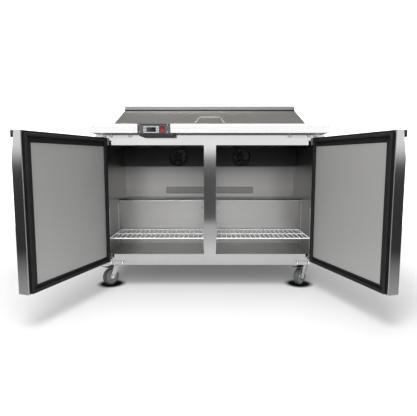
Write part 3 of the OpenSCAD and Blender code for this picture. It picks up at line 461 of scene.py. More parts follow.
# painted shade seen through the rear inner panel's holes: the foam coloured dark, and nearly black behind
# that panel
FOAM = moulded("cast_foam", (0.1, 0.085, 0.055), (0.14, 0.12, 0.08), (0.8, 0.95), 240.0, 0.5)
BEHIND_GRILLE = share_of("cabinet_foam", "y", box_mm("rear_inner_panel")[0].y)
paint_along(FOAM, "Y", ((BEHIND_GRILLE - 0.01, 1.0), (BEHIND_GRILLE, 0.02)))

ZINC = plain_metal("zinc_plate", grey(0.66), grey(0.78), (0.25, 0.38), 45.0)
DARK_ZINC = plain_metal("galvanised_dark", grey(0.12), grey(0.2), (0.35, 0.5), 30.0)
CHROME = plain_metal("polished_rod", grey(0.82), grey(0.88), (0.12, 0.2), 20.0, 0.03)
HANDLE = plain_metal("handle_rod", (0.88, 0.86, 0.78), (0.93, 0.91, 0.83), (0.3, 0.4), 20.0, 0.03)
# painted shade: the handle darker along its top bar, where the lamps glint on it
paint_along(HANDLE, "Z", ((0.77, 1.0), (0.83, 0.28)))
COPPER = plain_metal("copper_tube", (0.62, 0.28, 0.16), (0.78, 0.4, 0.25), (0.25, 0.4), 40.0)
FINS = plain_metal("aluminium_fins", grey(0.55), grey(0.68), (0.35, 0.5), 90.0)

BLACK = moulded("black_plastic", grey(0.012), grey(0.02), (0.35, 0.5))
COVER = moulded("cover_black", grey(0.006), grey(0.010), (0.4, 0.5), 300.0, 0.05)
# painted light and shade: the cover lighter towards its foot and darker towards its top
paint_along(COVER, "Z", ((0.0, 3.2), (0.25, 1.6), (0.5, 0.9), (1.0, 0.6)))
SEAL = moulded("seal_rubber", grey(0.010), grey(0.014), (0.5, 0.65), 700.0, 0.2)
ENAMEL = moulded("black_enamel", grey(0.01), grey(0.016), (0.15, 0.25), 200.0, 0.03, 0.4)
FAN_BLACK = moulded("fan_black", grey(0.004), grey(0.007), (0.55, 0.7), 400.0, 0.05)
CONTROL = moulded("control_grey", (0.055, 0.06, 0.061), (0.066, 0.072, 0.073), (0.4, 0.5))
# painted shade: the housing darker at its foot, under the worktop, and along its side and top edges
paint_along(CONTROL, "Z", ((0.0, 0.35), (0.16, 0.45), (0.2, 1.0), (0.9, 1.0), (0.94, 0.2)))
paint_along(CONTROL, "X", ((0.0, 0.3), (0.03, 0.3), (0.05, 1.0), (0.955, 1.0), (0.975, 0.3)))
SILVER = moulded("bezel_silver", (0.35, 0.36, 0.38), (0.38, 0.39, 0.41), (0.28, 0.38))
KEY = moulded("key_grey", (0.22, 0.23, 0.25), (0.26, 0.27, 0.29), (0.4, 0.5))
RED = moulded("rocker_red", (0.24, 0.004, 0.01), (0.32, 0.006, 0.014), (0.25, 0.35), 400.0, 0.03)
GLASS = moulded("display_lens", grey(0.045), grey(0.05), (0.12, 0.2), 100.0, 0.01)
# painted reflection: the lens lighter towards its left end
paint_along(GLASS, "X", ((0.0, 1.0), (0.35, 0.5), (0.6, 0.06)))
BOARD = moulded("polyethylene_board", grey(0.78, 0.004), grey(0.84, 0.004), (0.45, 0.6), 1400.0, 0.25)
COATED = moulded("white_coating", grey(0.82), grey(0.88), (0.22, 0.35), 300.0, 0.05, 0.3)
NYLON = moulded("nylon", grey(0.65, 0.01), grey(0.72, 0.01))
TYRE = moulded("grey_tread", (0.06, 0.067, 0.063), (0.08, 0.088, 0.084), (0.45, 0.6), 500.0, 0.3)
HUB = moulded("wheel_hub", (0.2, 0.215, 0.205), (0.26, 0.275, 0.265), (0.4, 0.5), 400.0, 0.15)
for dull, level in ((COVER, 0.25), (SEAL, 0.2), (GLASS, 0.2), (FAN_BLACK, 0.2)):
    shader_of(dull).inputs["Specular IOR Level"].default_value = level


# ---------------------------------------------------------------- door pieces

def door_ring(shape, section, outer, inner, width):
    """Takes a section of (inset, y) points round the door, its insets from 0 to width.

    The outer and inner edges, given as left, low, right and high, may lie apart unequally.
    """
    left, low, right, high = range(4)
    rings = []
    for across, up in ((left, low), (right, low), (right, high), (left, high)):
        ring = []
        for inset, y in section:
            share = inset / width
            x = outer[across] + (inner[across] - outer[across]) * share
            z = outer[up] + (inner[up] - outer[up]) * share
            ring.append((x, y, z))
        rings.append(ring)
    shape.loft(rings, loop=True)


def door_seal(side):
    """Plastic surround of the inner panel and the bellows seal that it holds."""
    shape = Shape(door_matrix(side))
    back = DOOR_BACK
    lip, margin = 49.2, 1.4
    surround = [
        (0.0, back - 3), (0.0, back + 0.2), (0.6, back + 1), (3.0, back + 1), (3.6, back - 0.4),
        (5.2, back - 0.4), (5.8, back + 1), (30.5, back + 1), (32.5, back + 2.2),
        (lip - 6, back + 2.2), (lip - 2, back + 1.2), (lip, back - 1.4), (lip, back - 3),
    ]
    outer = (DOOR_LEFT + margin, DOOR_LOW + margin, DOOR_RIGHT - margin, DOOR_HIGH - margin)
    # wider at the free edge and the top than at the hinge and the foot
    inner = (DOOR_LEFT + 54, DOOR_LOW + 32, DOOR_RIGHT - 33, DOOR_HIGH - 47)
    door_ring(shape, surround, outer, inner, lip)
    seal = FACE_Y - 0.6
    seal_w = 14.0
    bellows = [
        (2.5, back + 0.9), (2.5, back + 2.6), (4.6, back + 3.4), (5.0, back + 4.6),
        (2.2, back + 6.0), (2.2, back + 6.8), (4.6, back + 7.8), (4.6, back + 8.4),
        (0.6, seal - 4.2), (0.0, seal - 3.4), (0.0, seal - 1.0), (0.9, seal),
        (seal_w - 1.4, seal), (seal_w, seal - 1.2), (seal_w, seal - 3.8), (seal_w - 2, seal - 4.8),
        (9.4, back + 8.4), (9.4, back + 7.8), (11.8, back + 6.8), (11.8, back + 6.0),
        (9.0, back + 4.6), (9.4, back + 3.4), (11.5, back + 2.6), (11.5, back + 0.9),
    ]
    left, low, right, high = DOOR_LEFT + 11, DOOR_LOW + 3, DOOR_PIVOT.x + 3, DOOR_HIGH - 9
    within = (left + seal_w, low + seal_w, right - seal_w, high - seal_w)
    door_ring(shape, bellows, (left, low, right, high), within, seal_w)
    gasket = side + "_door_gasket"
    return shape.make(side + "_door_seal", side + "_door", [SEAL], [gasket], smooth_deg=50)


def door_hem(side):
    """The outer skin's sheet folded flat over the surround at the door's free edge."""
    shape = Shape(door_matrix(side))
    back = DOOR_BACK
    left = DOOR_LEFT + 0.6
    right = left + HEM_W
    section = [
        (left, back - 2.4), (left, back + 1.2), (left + 0.5, back + 1.7), (right - 0.5, back + 1.7),
        (right, back + 1.2), (right, back - 2.4),
    ]
    shape.prism(section, DOOR_LOW + 0.6, DOOR_HIGH - 0.6, "z")
    return shape.make(side + "_door_hem", side + "_door", [HEM_STEEL], smooth_deg=50)


# ------------------------------------------------------------------- shelves

def wire_shelf(side):
    """Front-to-back wires whose ends turn down over the frame rods."""
    low, high = box_mm(side + "_shelf")
    shape = Shape()
    wires, thin, thick, hook = 20, 2.0, 3.0, 6
    z = high.z - thin
    rod_z = z - thin - thick + 0.8
    front, rear = low.y + thick - 1.5, high.y - thick + 1.5
    for i in range(wires):
        x = low.x + thick + (high.x - low.x - 2 * thick) * i / (wires - 1)
        shape.tube([(x, front, z - hook), (x, front, z), (x, rear, z), (x, rear, z - hook)], thin, 5, 8)
    rows = (low.y + thick, (low.y + high.y) / 2, high.y - thick)
    for y in rows:
        shape.tube([(low.x, y, rod_z), (high.x, y, rod_z)], thick)
    for x in (low.x + thick, high.x - thick):
        shape.tube([(x, rows[0], rod_z), (x, rows[2], rod_z)], thick)
    return shape.make(side + "_wire_shelf", side + "_rack", [COATED], [side + "_shelf"])


# ---------------------------------------------------------------------- fans

def curved_blades(shape, radius, hub, depth, base, axis):
    """Five skewed, cambered blades round a hub, each a closed aerofoil skin."""
    point = around_axis(base, axis)
    count, chord, thickness = 5, 0.98, 0.055 * radius
    spans, across = 7, 8
    root = hub - 1.5
    for start in turns(count):
        rings = []
        for i in range(spans + 1):
            share = i / spans
            r = root + (radius - root) * share
            skew = start + 0.5 * share ** 1.5
            width = chord * (0.72 + 0.34 * math.sin(math.pi * min(share * 1.15, 1.0) * 0.8))
            upper, lower = [], []
            for k in range(across + 1):
                t = k / across
                swell = math.sin(math.pi * t)
                height = depth * (0.12 + 0.76 * t) + 0.16 * depth * swell
                half = 0.5 * thickness * (0.35 + 0.65 * swell) * (1.15 - 0.5 * share)
                angle = skew + (t - 0.5) * width
                upper.append(point(r, angle, height + half))
                lower.append(point(r, angle, height - half))
            rings.append(upper + lower[::-1])
        shape.loft(rings)


def fan_rotor(name, node, body, radius, hub, depth, base, axis):
    """Capped hub with its blades and the shaft's boss behind."""
    shape = Shape()
    cap = [(1.0, 0.8), (0.36 * hub, 0.8), (0.4 * hub, 0.0), (hub - 1.4, 0.2), (hub, 1.6), (hub, depth)]
    shape.turned(cap, base, axis, 40)
    curved_blades(shape, radius, hub, depth, base, axis)
    shape.turned([(0.2 * hub, depth - 0.5), (0.2 * hub, depth + 12)], base, axis, 20)
    return shape.make(name, body, [BLACK], [node])


def guard(shape, x):
    """Wire guard of one evaporator fan: rings, bowed spokes, hub plate and four feet."""
    y = FAN_COVER_Y - 2.2
    forward = (0, -1, 0)
    wire, reach, rise = 0.8, 55, 3.0
    for r in (17, 25.5, 34, 42.5, 51):
        bow = rise * (1 - (r / reach) ** 2)
        shape.wire_ring(r, wire, (x, y - bow, FAN_Z), forward)
    for i in range(6):
        a = math.radians(60 * i + 15)
        spoke = []
        for r in (8, 20, 32, 44, 56):
            bow = rise * (1 - (r / reach) ** 2)
            spoke.append((x + r * math.cos(a), y + 1.0 - bow, FAN_Z + r * math.sin(a)))
        shape.tube(spoke, wire, 0, 6)
    shape.turned([(10.5, 0.0), (10.5, 0.8), (9.0, 1.5), (1.5, 1.7)], (x, y - 2.2, FAN_Z), forward, 28)
    rim = [(54, -2.1), (59, -2.1), (59.6, -1.2), (59.0, 0.4), (56.5, 1.4), (54.4, 0.4)]
    shape.ring(rim, (x, y, FAN_Z), forward, 64)
    pad = [(5.5, -2.1), (5.5, 0.2), (4.8, 0.9), (1.0, 1.1)]
    screw = [(3.0, 0.0), (2.8, 0.9), (1.6, 1.4), (1.4, 0.8), (0.3, 0.8)]
    for fx, fz in arc_points((x, FAN_Z), 61.5, 45, 315, 3):
        shape.turned(pad, (fx, y, fz), forward, 20)
        shape.paint = 1
        shape.turned(screw, (fx, y - 1.0, fz), forward, 14)
        shape.paint = 0


def shroud(shape, base, axis, radius, depth, hub, tail):
    """Open tube with a bell mouth and three arms that hold the motor's sleeve."""
    tube = [
        (radius, 0), (radius + 1.6, -0.4), (radius + 2.2, 0.6), (radius + 2, 2.4),
        (radius + 2, depth), (radius, depth),
    ]
    shape.ring(tube, base, axis, 64)
    end = depth + tail
    sleeve = [(hub, depth - 4), (hub + 3, depth - 4), (hub + 3, end - 1), (hub + 2, end), (hub, end)]
    shape.ring(sleeve, base, axis, 40)
    turn = axis_turn(axis)
    up = Vector((0, 0, 1))
    for i in range(3):
        a = math.radians(120 * i + 90)
        along = Vector((math.cos(a), math.sin(a), 0))
        across = up.cross(along)
        rings = []
        for r, wide in ((hub + 1.5, 7.0), (radius + 1, 4.5)):
            narrow = 0.8 * wide
            corners = ((-wide, depth - 3), (wide, depth - 3), (narrow, depth - 1), (-narrow, depth - 1))
            arm = [along * r + across * u + up * h for u, h in corners]
            rings.append([Vector(base) + turn @ point for point in arm])
        shape.loft(rings)


def fan_frames():
    """Guards and shrouds of the evaporator fans, and the condenser fan's plate with its venturi."""
    shape = Shape()
    for x in (-FAN_X, FAN_X):
        guard(shape, x)
        shroud(shape, (x, FAN_COVER_Y + 2.1, FAN_Z), (0, 1, 0), 53, 25, 20, 3)
    x, y, z = CONDENSER_FAN
    half_w, half_h, mouth, thick = 180, 121, 112, 2
    rings = []
    for a in turns(64):
        across, up = math.cos(a), math.sin(a)
        reach = min(half_w / max(abs(across), 1e-6), half_h / max(abs(up), 1e-6))
        section = ((reach, 0), (reach, thick), (mouth, thick), (mouth, 0))
        rings.append([(x + r * across, y - ahead, z + r * up) for r, ahead in section])
    shape.loft(rings, loop=True)
    shroud(shape, CONDENSER_FAN, (0, -1, 0), mouth, 48, 34, 6)
    return shape.make("fan_frames", "cabinet", [FAN_BLACK, ENAMEL], ["fan_shrouds"])


# ------------------------------------------------------------------- casters

def wheel(corner):
    """Soft tread bonded to a webbed core that turns on a bearing."""
    shape = Shape(caster_matrix(corner))
    across = (0, 1, 0)
    half, core_r, web = WHEEL_W / 2, 37.0, 5.0
    shoulder, bend = WHEEL_R - 4.5, 3.8
    tread = [(core_r, -half + 1.2), (shoulder, -half + 1.0)]
    tread += [(shoulder + bend * math.sin(a), -half + 4.8 - bend * math.cos(a)) for a in arc(15, 75, 4)]
    tread += [(WHEEL_R, -half + 11), (WHEEL_R, half - 11)]
    tread += [(shoulder + bend * math.cos(a), half - 4.8 + bend * math.sin(a)) for a in arc(15, 75, 4)]
    tread += [(shoulder, half - 1.0), (core_r, half - 1.2)]
    shape.ring(tread, AXLE, across, 72)
    shape.paint = 1
    flank = [
        (core_r + 0.4, half - 1.6), (34.5, half - 1.6), (32.5, web), (17.5, web + 0.6),
        (15.0, half - 2.0), (12.5, half - 0.4), (9.0, half - 0.4),
    ]
    core = [(r, -h) for r, h in flank] + flank[::-1]
    shape.ring(core, AXLE, across, 72)
    tall = half - 3.2
    rib = ((-1.3, web - 0.5), (1.3, web - 0.5), (0.9, tall), (-0.9, tall))
    for a in turns(8):
        along, up = Vector((math.cos(a), 0, math.sin(a))), Vector((-math.sin(a), 0, math.cos(a)))
        for s in (-1, 1):
            rings = []
            for r in (14.6, 33.2):
                start = Vector(AXLE) + along * r
                rings.append([start + up * u + Vector((0, s * h, 0)) for u, h in rib])
            shape.loft(rings)
    shape.paint = 2
    race = [(5.1, -half + 0.2), (9.4, -half + 0.2), (9.4, half - 0.2), (5.1, half - 0.2)]
    shape.ring(race, AXLE, across, 40)
    name, paints = corner + "_tyre_and_core", [TYRE, HUB, ZINC]
    return shape.make(name, corner + "_roller", paints, [corner + "_wheel"])


def fork_leg(shape, s, inner, crown_z):
    """One pressed leg: wide at the crown, tapering to a round end at the axle."""
    thick = 3.0
    rear = -21
    end = arc_points((TRAIL, WHEEL_R), 13, 200, 382, 12)
    outline = [(rear, crown_z), (rear, crown_z - 5)] + end + [(29, crown_z - 7), (29, crown_z)]
    near, far = s * inner, s * (inner + thick)
    shape.prism(outline, near, far)
    # stiffening flange down the leg's rear edge
    flange = [
        (rear, crown_z - 4), (rear + 2.4, crown_z - 4), (TRAIL - 9.8, WHEEL_R + 4),
        (TRAIL - 12.4, WHEEL_R + 2),
    ]
    shape.prism(flange, near, s * (inner + thick + 2.2))


def fork(corner):
    """Pressed fork with a raised ball race and an axle bolt with its lock nut."""
    shape = Shape(caster_matrix(corner))
    across = (0, 1, 0)
    inner = WHEEL_W / 2 + 3
    top = box_mm(corner + "_fork")[1].z
    crown = [
        (6.1, top - 5.5), (31, top - 5.5), (32, top - 4.4), (30.5, top - 3.0), (26.5, top), (20, top),
        (19, top - 1.2), (6.1, top - 1.2),
    ]
    shape.paint = 2
    shape.ring(crown, (0, 0, 0), (0, 0, 1), 48)
    shape.paint = 0
    for s in (-1, 1):
        fork_leg(shape, s, inner, top - 1)
    # web across the rear of the legs, under the crown
    shape.block((-20.6, -inner - 1, top - 7.5), (-18.2, inner + 1, top - 3))
    shape.paint = 1
    out = inner + 3
    shape.turned([(5, -out), (5, out)], AXLE, across, 20)
    head = [(8.6, out - 0.3), (9.0, out + 0.4), (9.0, out + 4.2), (7.6, out + 5.0)]
    shape.turned(head, AXLE, across, 6)
    nut = head[:3] + [(8.0, out + 5.0)]
    shape.turned(nut, AXLE, (0, -1, 0), 6)
    shape.turned([(6.2, out + 4.6), (6.2, out + 6.6), (5.4, out + 7.4)], AXLE, (0, -1, 0), 20)
    if corner.startswith("front"):
        x, z = BRAKE_PIVOT
        shape.turned([(3, -inner - 1), (3, inner + 1)], (x, 0, z), across, 16)
    paints = [ZINC, CHROME, DARK_ZINC]
    return shape.make(corner + "_yoke", corner + "_caster", paints, [corner + "_fork"], 0.5)


def brake(side):
    """Pressed pedal with a rolled pivot, turned-down sides and ribs on its tread."""
    shape = Shape(caster_matrix("front_" + side))
    half = WHEEL_W / 2 + 2
    x0, z0 = BRAKE_PIVOT
    roll = [(3.1, -half), (4.8, -half), (4.8, half), (3.1, half)]
    shape.ring(roll, (x0, 0, z0), (0, 1, 0), 28)
    # a flat arm, then the tread that rises from its end
    x1 = 71.0
    tip, reach, thick = math.radians(22), 22.0, 1.3
    x2, z2 = x1 + reach * math.cos(tip), z0 + reach * math.sin(tip)
    for start, end, wide in (((x0 + 4, z0), (x1 + 0.6, z0), half), ((x1, z0), (x2, z2), half + 4)):
        rings = []
        for x, z in (start, end):
            low, high = z - thick, z + thick
            rings.append([(x, -wide, low), (x, wide, low), (x, wide, high), (x, -wide, high)])
        shape.loft(rings)
    for share in (0.2, 0.4, 0.6, 0.8):
        x, z = x1 + (x2 - x1) * share, z0 + (z2 - z0) * share
        shape.tube([(x, -half, z + 1.5), (x, half, z + 1.5)], 1.0, 0, 8)
    flank = [(x0 + 6, z0), (x1 - 2, z0), (x1 - 6, z0 - 5), (x0 + 10, z0 - 7)]
    for s in (-1, 1):
        shape.prism(flank, s * (half - 1.6), s * half)
    lever = side + "_brake_lever"
    return shape.make(side + "_brake_pedal", side + "_brake", [DARK_ZINC], [lever], 0.4)


# ---------------------------------------------------------- pans, lid, cabinet

def pan_ring(centre, width, depth, radius, z):
    low = (centre[0] - width / 2, centre[1] - depth / 2)
    high = (centre[0] + width / 2, centre[1] + depth / 2)
    return [(x, y, z) for x, y in rounded_rect(low, high, radius)]


def food_pans():
    """Deep-drawn pans: a rolled rim, tapered walls and a floor that meets them in a curve."""
    low, high = box_mm("food_pans")
    columns, rows = 6, 2
    pitch_x, pitch_y = (high.x - low.x + 1) / columns, (high.y - low.y + 1) / rows
    rim_w, rim_d = pitch_x - 1, pitch_y - 1
    mouth_w, mouth_d = rim_w - 26, rim_d - 28
    taper, bend, wall = 8.0, 11.0, 1.0
    # steps of (width, depth, corner radius, z), from the floor up
    inside, outside = [], []
    for a in arc(90, 0, 4):
        inset = taper + 2 * bend * (1 - math.cos(a))
        z = low.z + bend * (1 - math.sin(a))
        radius = 20 - 6 * math.sin(a)
        w, d = mouth_w - inset, mouth_d - inset
        inside.append((w - 2 * wall, d - 2 * wall, radius, z + wall))
        outside.append((w, d, radius + wall, z))
    rim = high.z
    inside += [(mouth_w - 2.4, mouth_d - 2.4, 23, rim - 3.4), (mouth_w + 0.2, mouth_d + 0.2, 24, rim - 0.8)]
    inside += [(mouth_w + 4, mouth_d + 4, 25, rim), (rim_w - 2.4, rim_d - 2.4, 13, rim)]
    outside += [(mouth_w, mouth_d, 24, rim - 4), (mouth_w + 3, mouth_d + 3, 25, rim - 1.2)]
    outside += [(rim_w - 1.6, rim_d - 1.6, 13.4, rim - 1.2), (rim_w, rim_d, 14, rim - 0.6)]
    steps = inside + outside[::-1]
    shape = Shape()
    for i in range(columns):
        for j in range(rows):
            centre = (low.x + rim_w / 2 + pitch_x * i, low.y + rim_d / 2 + pitch_y * j)
            shape.loft([pan_ring(centre, w, d, r, z) for w, d, r, z in steps])
    return shape.make("drawn_pans", "cabinet", [PAN], ["food_pans"], smooth_deg=45)


def louvres():
    """Pressed hoods over the slots of the rear service panel, and the screws that hold it."""
    low, high = box_mm("rear_louvre_panel")
    shape = Shape()
    y = high.y
    rows, pitch, first_z = 11, 22.0, 167
    half_w, rise = 92.0, 5.0
    for x in (-360, -120, 120, 360):
        for row in range(rows):
            z = first_z + pitch * row
            rings = []
            for k in range(9):
                share = -1 + k / 4
                out = rise * math.sqrt(max(1 - abs(share) ** 6, 0.0)) + 0.15
                section = (
                    (-0.2, 10.5), (0.55 * out, 8.6), (out, 3.2), (out, 0.8),
                    (0.82 * out, 0.8), (0.82 * out - 0.1, 3.4), (0.4 * out - 0.1, 8.2), (-0.4, 9.6),
                )
                rings.append([(x + half_w * share, y + depth, z + height) for depth, height in section])
            shape.loft(rings)
    shape.paint = 1
    for x in (low.x + 12, 0, high.x - 12):
        for z in (low.z + 9, high.z - 9):
            cross_screw(shape, (x, y, z), (0, 1, 0), 4.5)
    return shape.make("louvre_hoods", "cabinet", [STEEL_X, CHROME], smooth_deg=50)


def cross_screw(shape, base, axis, radius):
    """A pan-head screw whose recess is a cross."""
    point = around_axis(base, axis)
    around = turns(24)
    top = 0.5 * radius
    rings = []
    for share, height in ((1.0, 0.0), (1.0, 0.35 * top), (0.86, 0.75 * top), (0.62, top)):
        rings.append([point(share * radius, a, height) for a in around])
    arm, waist, root = 0.5 * radius, 0.15 * radius, 0.2025 * radius
    cross = [arm, root, waist, waist, waist, root] * 4
    for height in (top, 0.35 * top):
        rings.append([point(r, a, height) for r, a in zip(cross, around)])
    shape.loft(rings)


def bolt_heads():
    """Domed socket screws of the hinge brackets, standing on the CAD model's washers."""
    end = box_mm("hinge_brackets")[1].x + 10
    top_z, base_z = 835.9, 142.5
    head = [(7.4, -0.4), (7.4, 1.2), (6.8, 2.6), (5.2, 3.8), (3.2, 4.4), (2.9, 4.4), (2.7, 2.2), (0.4, 2.0)]
    shape = Shape()
    for s in (-1, 1):
        places = [(end - d, top_z) for d in (185, 83, 50)] + [(end - d, base_z) for d in (127, 64)]
        for x, z in places:
            shape.turned(head, (s * x, FACE_Y - 8.0, z), (0, -1, 0), 28)
    return shape.make("bracket_screws", "cabinet", [CHROME])


def controller_details():
    """Frame round the rocker and the screws that hold the housing."""
    low, high = box_mm("controller_housing")
    rocker_low, rocker_high = box_mm("power_rocker")
    x, _, z = (rocker_low + rocker_high) / 2
    y = low.y
    outer_w, outer_h, inner_w, inner_h = 13, 19, 10.2, 17.0
    shape = Shape()
    outer = rounded_rect((x - outer_w, z - outer_h), (x + outer_w, z + outer_h), 2.5)
    inner = rounded_rect((x - inner_w, z - inner_h), (x + inner_w, z + inner_h), 1.0)
    rings = []
    for (ox, oz), (ix, iz) in zip(outer, inner):
        mx, mz = 0.25 * ox + 0.75 * ix, 0.25 * oz + 0.75 * iz
        rings.append([
            (ox, y + 0.5, oz), (ox, y - 0.8, oz), (mx, y - 1.8, mz), (ix, y - 1.6, iz), (ix, y + 0.5, iz),
        ])
    shape.loft(rings, loop=True)
    shape.paint = 1
    for x in (low.x + 9, high.x - 30):
        for z in (low.z + 19, high.z - 7):
            cross_screw(shape, (x, y, z), (0, -1, 0), 2.6)
    return shape.make("controller_trim", "cabinet", [BLACK, CHROME])


def build_pieces():
    for side in ("left", "right"):
        door_seal(side)
        door_hem(side)
        wire_shelf(side)
        brake(side)
    for side, x in (("left", -FAN_X), ("right", FAN_X)):
        fan = side + "_fan"
        place = (x, FAN_COVER_Y + 5, FAN_Z)
        fan_rotor(fan + "_blades", fan + "_rotor", fan, 50, 15, 17, place, (0, 1, 0))
    fan = "condenser_fan"
    place = CONDENSER_FAN - Vector((0, 8, 0))
    fan_rotor(fan + "_blades", fan + "_rotor", fan, 108, 26, 32, place, (0, -1, 0))
    fan_frames()
    for corner in CASTERS:
        wheel(corner)
        fork(corner)
    food_pans()
    louvres()
    bolt_heads()
    controller_details()


# ------------------------------------------------------------------ CAD nodes

def dress(node, material, edge=None):
    """Gives a CAD node its material and, where wanted, softened edges."""
    obj = NODES[node]
    for i in range(len(obj.material_slots)):
        obj.material_slots[i].material = material
    if not obj.material_slots:
        obj.data.materials.append(material)
    if edge:
        soften(obj, edge * MM)


def dress_cad():
    """Each CAD node with its material and the width of its softened edges."""
    looks = {
        "cabinet_wrapper": (STEEL_Z, 0.5),
        "base_frame": (DARK_ZINC, 0.4),
        "cavity_liner": (LINER, None),
        "cabinet_foam": (FOAM, None),
        "face_frame": (STEEL_Z, 0.4),
        "rear_louvre_panel": (STEEL_X, None),
        "worktop": (TOP_STEEL, 0.5),
        "rear_hood": (HOOD_STEEL, 0.5),
        "divider_bars": (STEEL_Y, 0.4),
        "food_pans": (STEEL_X, 0.4),
        "controller_housing": (CONTROL, 1.2),
        "display_bezel": (SILVER, 0.6),
        "display_window": (GLASS, 0.3),
        "evaporator_cover": (COVER, 0.4),
        "evaporator_coil": (FINS, None),
        "fan_shrouds": (BLACK, None),
        "fan_motors": (ENAMEL, 0.6),
        "rear_inner_panel": (BACK_SHEET, None),
        "shelf_supports": (ZINC, None),
        "compressor": (ENAMEL, 1.0),
        "condenser_coil": (FINS, None),
        "refrigerant_pipes": (COPPER, None),
        "hinge_brackets": (STEEL_X, 0.4),
        "power_inlet": (BLACK, 0.6),
        "lid_skin": (LID_STEEL, 0.3),
        "lid_core": (LINER, None),
        "lid_handle": (HANDLE, None),
        "cutting_board": (BOARD, 1.2),
        "left_shelf": (COATED, None),
        "right_shelf": (COATED, None),
        "power_rocker": (RED, 0.5),
    }
    for node, (material, edge) in looks.items():
        dress(node, material, edge)
    for name in ("left_fan_rotor", "right_fan_rotor", "condenser_fan_rotor"):
        dress(name, BLACK, 0.3)
    for name in ("key_up", "key_down", "key_set", "key_defrost"):
        dress(name, KEY, 0.8)
    for side in ("left", "right"):
        dress(side + "_door_skin", STEEL_Z, 0.8)
        dress(side + "_door_core", FOAM)
        dress(side + "_door_panel", DOOR_LINER, 0.3)
        dress(side + "_door_gasket", SEAL, 0.6)
        dress(side + "_door_handle", BLACK, 0.8)
        dress(side + "_door_bushings", NYLON)
        dress(side + "_brake_lever", ZINC, 0.6)
    for corner in CASTERS:
        dress(corner + "_fork", ZINC, 0.5)
        dress(corner + "_wheel", TYRE, 1.0)


# --------------------------------------------------------------------- studio

# Brightness of the surround by height: the floor's far side, the horizon, the ceiling
FRONT_WALL = (
    (-1, 0.07), (-0.01, 0.07), (0.012, 0.15), (0.02, 0.85), (0.03, 1.1), (0.046, 0.88), (0.06, 0.76),
    (0.1, 0.76), (0.12, 0.3), (1, 0.3),
)
SIDE_WALLS = (
    (-1, 0.03), (-0.01, 0.03), (0.03, 0.7), (0.09, 0.7), (0.14, 0.25), (0.6, 0.15), (0.8, 0.15),
    (0.92, 0.3), (1, 0.35),
)
FRONT_WALL_ENDS = (-0.86, -0.7)     # between these directions in y it gives way to the sides
ROOM_BRIGHTNESS = 2.0
FLOOR_R = 2.75
# Glow and paint of the floor by share of its radius
FLOOR_GLOW = ((0, 0.1), (0.42, 0.1), (0.52, 1.0), (1, 1.0))
FLOOR_COVER = ((0, 1.0), (0.42, 1.0), (0.52, 0.05), (1, 0.05))
# Dimming of the glow by distance outside the camera's view, in metres
VIEW_EDGE = (0.52, 1.31)            # the view's side edges: x = 0.52 y + 1.31
DIM_OUTSIDE = ((0, 1.0), (0.05, 1.0), (0.4, 0.55), (0.9, 0.36), (1.7, 0.03), (3.0, 0.03))
BEHIND_CAMERA = (-1.5, -1.8)        # the glow also dims between these places in y
DIM_BEHIND_CAMERA = 0.75
# A painted shadow on the floor under each wheel, round a centre just behind its axle
CONTACT_BEHIND = 0.012              # the shade's centre lies this far behind the axle
CONTACT_SHADE = (0.055, 0.088)      # darkness under a wheel fades out between these distances
KEY_POWER, FILL_POWER, TOP_POWER = 150, 72, 50
FLOOR_PAINT = (0.6, 0.6, 0.6)


def ramp(tree, value, stops):
    """Brightness by stops of (value, brightness)."""
    start, end = stops[0][0], stops[-1][0]
    shares = [((at - start) / (end - start), grey(bright)) for at, bright in stops]
    return colour_ramp(tree, remap(tree, value, 0, 1, start, end), shares)


def surround():
    """White behind the object; in reflections a bright wall in front, darker sides, a soft ceiling."""
    world = bpy.data.worlds.new("surround")
    bpy.context.scene.world = world
    world.use_nodes = True
    tree = world.node_tree
    _, depth, height = coordinates(tree, "Generated")
    room = add(tree, "ShaderNodeMix", data_type="RGBA")
    tree.links.new(remap(tree, depth, 1, 0, *FRONT_WALL_ENDS), room.inputs["Factor"])
    tree.links.new(ramp(tree, height, SIDE_WALLS), room.inputs["A"])
    tree.links.new(ramp(tree, height, FRONT_WALL), room.inputs["B"])
    seen = add(tree, "ShaderNodeMix", data_type="RGBA")
    tree.links.new(add(tree, "ShaderNodeLightPath").outputs["Is Camera Ray"], seen.inputs["Factor"])
    tree.links.new(room.outputs["Result"], seen.inputs["A"])
    seen.inputs["B"].default_value = (1, 1, 1, 1)
    background = tree.nodes["Background"]
    tree.links.new(seen.outputs["Result"], background.inputs["Color"])
    background.inputs["Strength"].default_value = ROOM_BRIGHTNESS


def area_light(name, place_at, aim, size, power, mirrored=True):
    data = bpy.data.lights.new(name, "AREA")
    data.shape = "RECTANGLE"
    data.size, data.size_y = size
    data.energy = power
    obj = bpy.data.objects.new(name, data)
    bpy.context.scene.collection.objects.link(obj)
    obj.location = place_at
    obj.rotation_euler = (Vector(aim) - Vector(place_at)).to_track_quat("-Z", "Y").to_euler()
    obj.visible_camera = False
    obj.visible_glossy = mirrored


def distance_from(tree, point):
    """Distance on the floor from a point, in metres."""
    coord = add(tree, "ShaderNodeTexCoord")
    apart = add(tree, "ShaderNodeVectorMath", operation="DISTANCE")
    tree.links.new(coord.outputs["Object"], apart.inputs[0])
    apart.inputs[1].default_value = (point[0], point[1], 0)
    return apart.outputs["Value"]


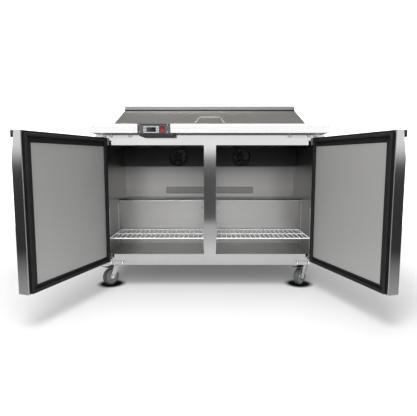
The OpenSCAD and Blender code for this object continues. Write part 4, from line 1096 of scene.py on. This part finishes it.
def floor_paint():
    """Pale matt paint that also glows, with a painted shadow close under each wheel, and dark where only
    reflections see it.
    """
    mat, tree, shader = new_material("floor_paint")
    shade = 1.0
    for corner in CASTERS:
        x, y, _ = JOINTS[corner + "_roll"]["pos_m"]
        near = remap(tree, distance_from(tree, (x, y + CONTACT_BEHIND)), 0, 1, *CONTACT_SHADE)
        shade = math_node(tree, "MULTIPLY", shade, near)
    reach = math_node(tree, "DIVIDE", distance_from(tree, (0, 0)), FLOOR_R)
    across, depth, _ = coordinates(tree, "Object")
    edge = math_node(tree, "MULTIPLY_ADD", depth, *VIEW_EDGE)
    beyond = math_node(tree, "SUBTRACT", math_node(tree, "ABSOLUTE", across), edge)
    behind = remap(tree, depth, 1, DIM_BEHIND_CAMERA, *BEHIND_CAMERA)
    dim = math_node(tree, "MULTIPLY", ramp(tree, beyond, DIM_OUTSIDE), behind)
    cover = math_node(tree, "MULTIPLY", shade, ramp(tree, reach, FLOOR_COVER))
    bright = math_node(tree, "MULTIPLY", shade, dim)
    glow = math_node(tree, "MULTIPLY", bright, ramp(tree, reach, FLOOR_GLOW))
    tree.links.new(tint(tree, cover, (0, 0, 0), FLOOR_PAINT), shader.inputs["Base Color"])
    tree.links.new(glow, shader.inputs["Emission Strength"])
    shader.inputs["Emission Color"].default_value = (1, 1, 1, 1)
    shader.inputs["Roughness"].default_value = 0.85
    shader.inputs["Specular IOR Level"].default_value = 0.1
    return mat


def studio():
    """A pale round floor under soft lights."""
    rim = [(FLOOR_R * math.cos(a), FLOOR_R * math.sin(a), 0) for a in turns(96)]
    mesh = bpy.data.meshes.new("floor")
    mesh.from_pydata(rim, [], [tuple(range(len(rim)))])
    floor = bpy.data.objects.new("floor", mesh)
    bpy.context.scene.collection.objects.link(floor)
    floor.data.materials.append(floor_paint())
    surround()
    front = (0, -0.3, 0.3)
    area_light("key", (-0.5, -2.6, 3.9), front, (1.8, 2.4), KEY_POWER)
    area_light("fill", (-0.3, -3.6, 1.7), front, (3.0, 2.0), FILL_POWER, False)
    area_light("overhead", (0, 0.4, 3.6), (0, 0.2, 0.4), (3.0, 2.0), TOP_POWER)


def camera():
    """The photo's viewpoint."""
    data = bpy.data.cameras.new("camera")
    data.lens = LENS
    data.sensor_width = 36.0
    data.clip_end = 100
    obj = bpy.data.objects.new("camera", data)
    obj.location = CAMERA_PLACE
    obj.rotation_euler = (math.radians(90 - CAMERA_DOWN), 0, 0)
    bpy.context.scene.collection.objects.link(obj)
    bpy.context.scene.camera = obj


def colour():
    view = bpy.context.scene.view_settings
    view.view_transform = "Standard"
    view.look = "None"
    view.exposure = 0.0


dress_cad()
build_pieces()
studio()
camera()
colour()
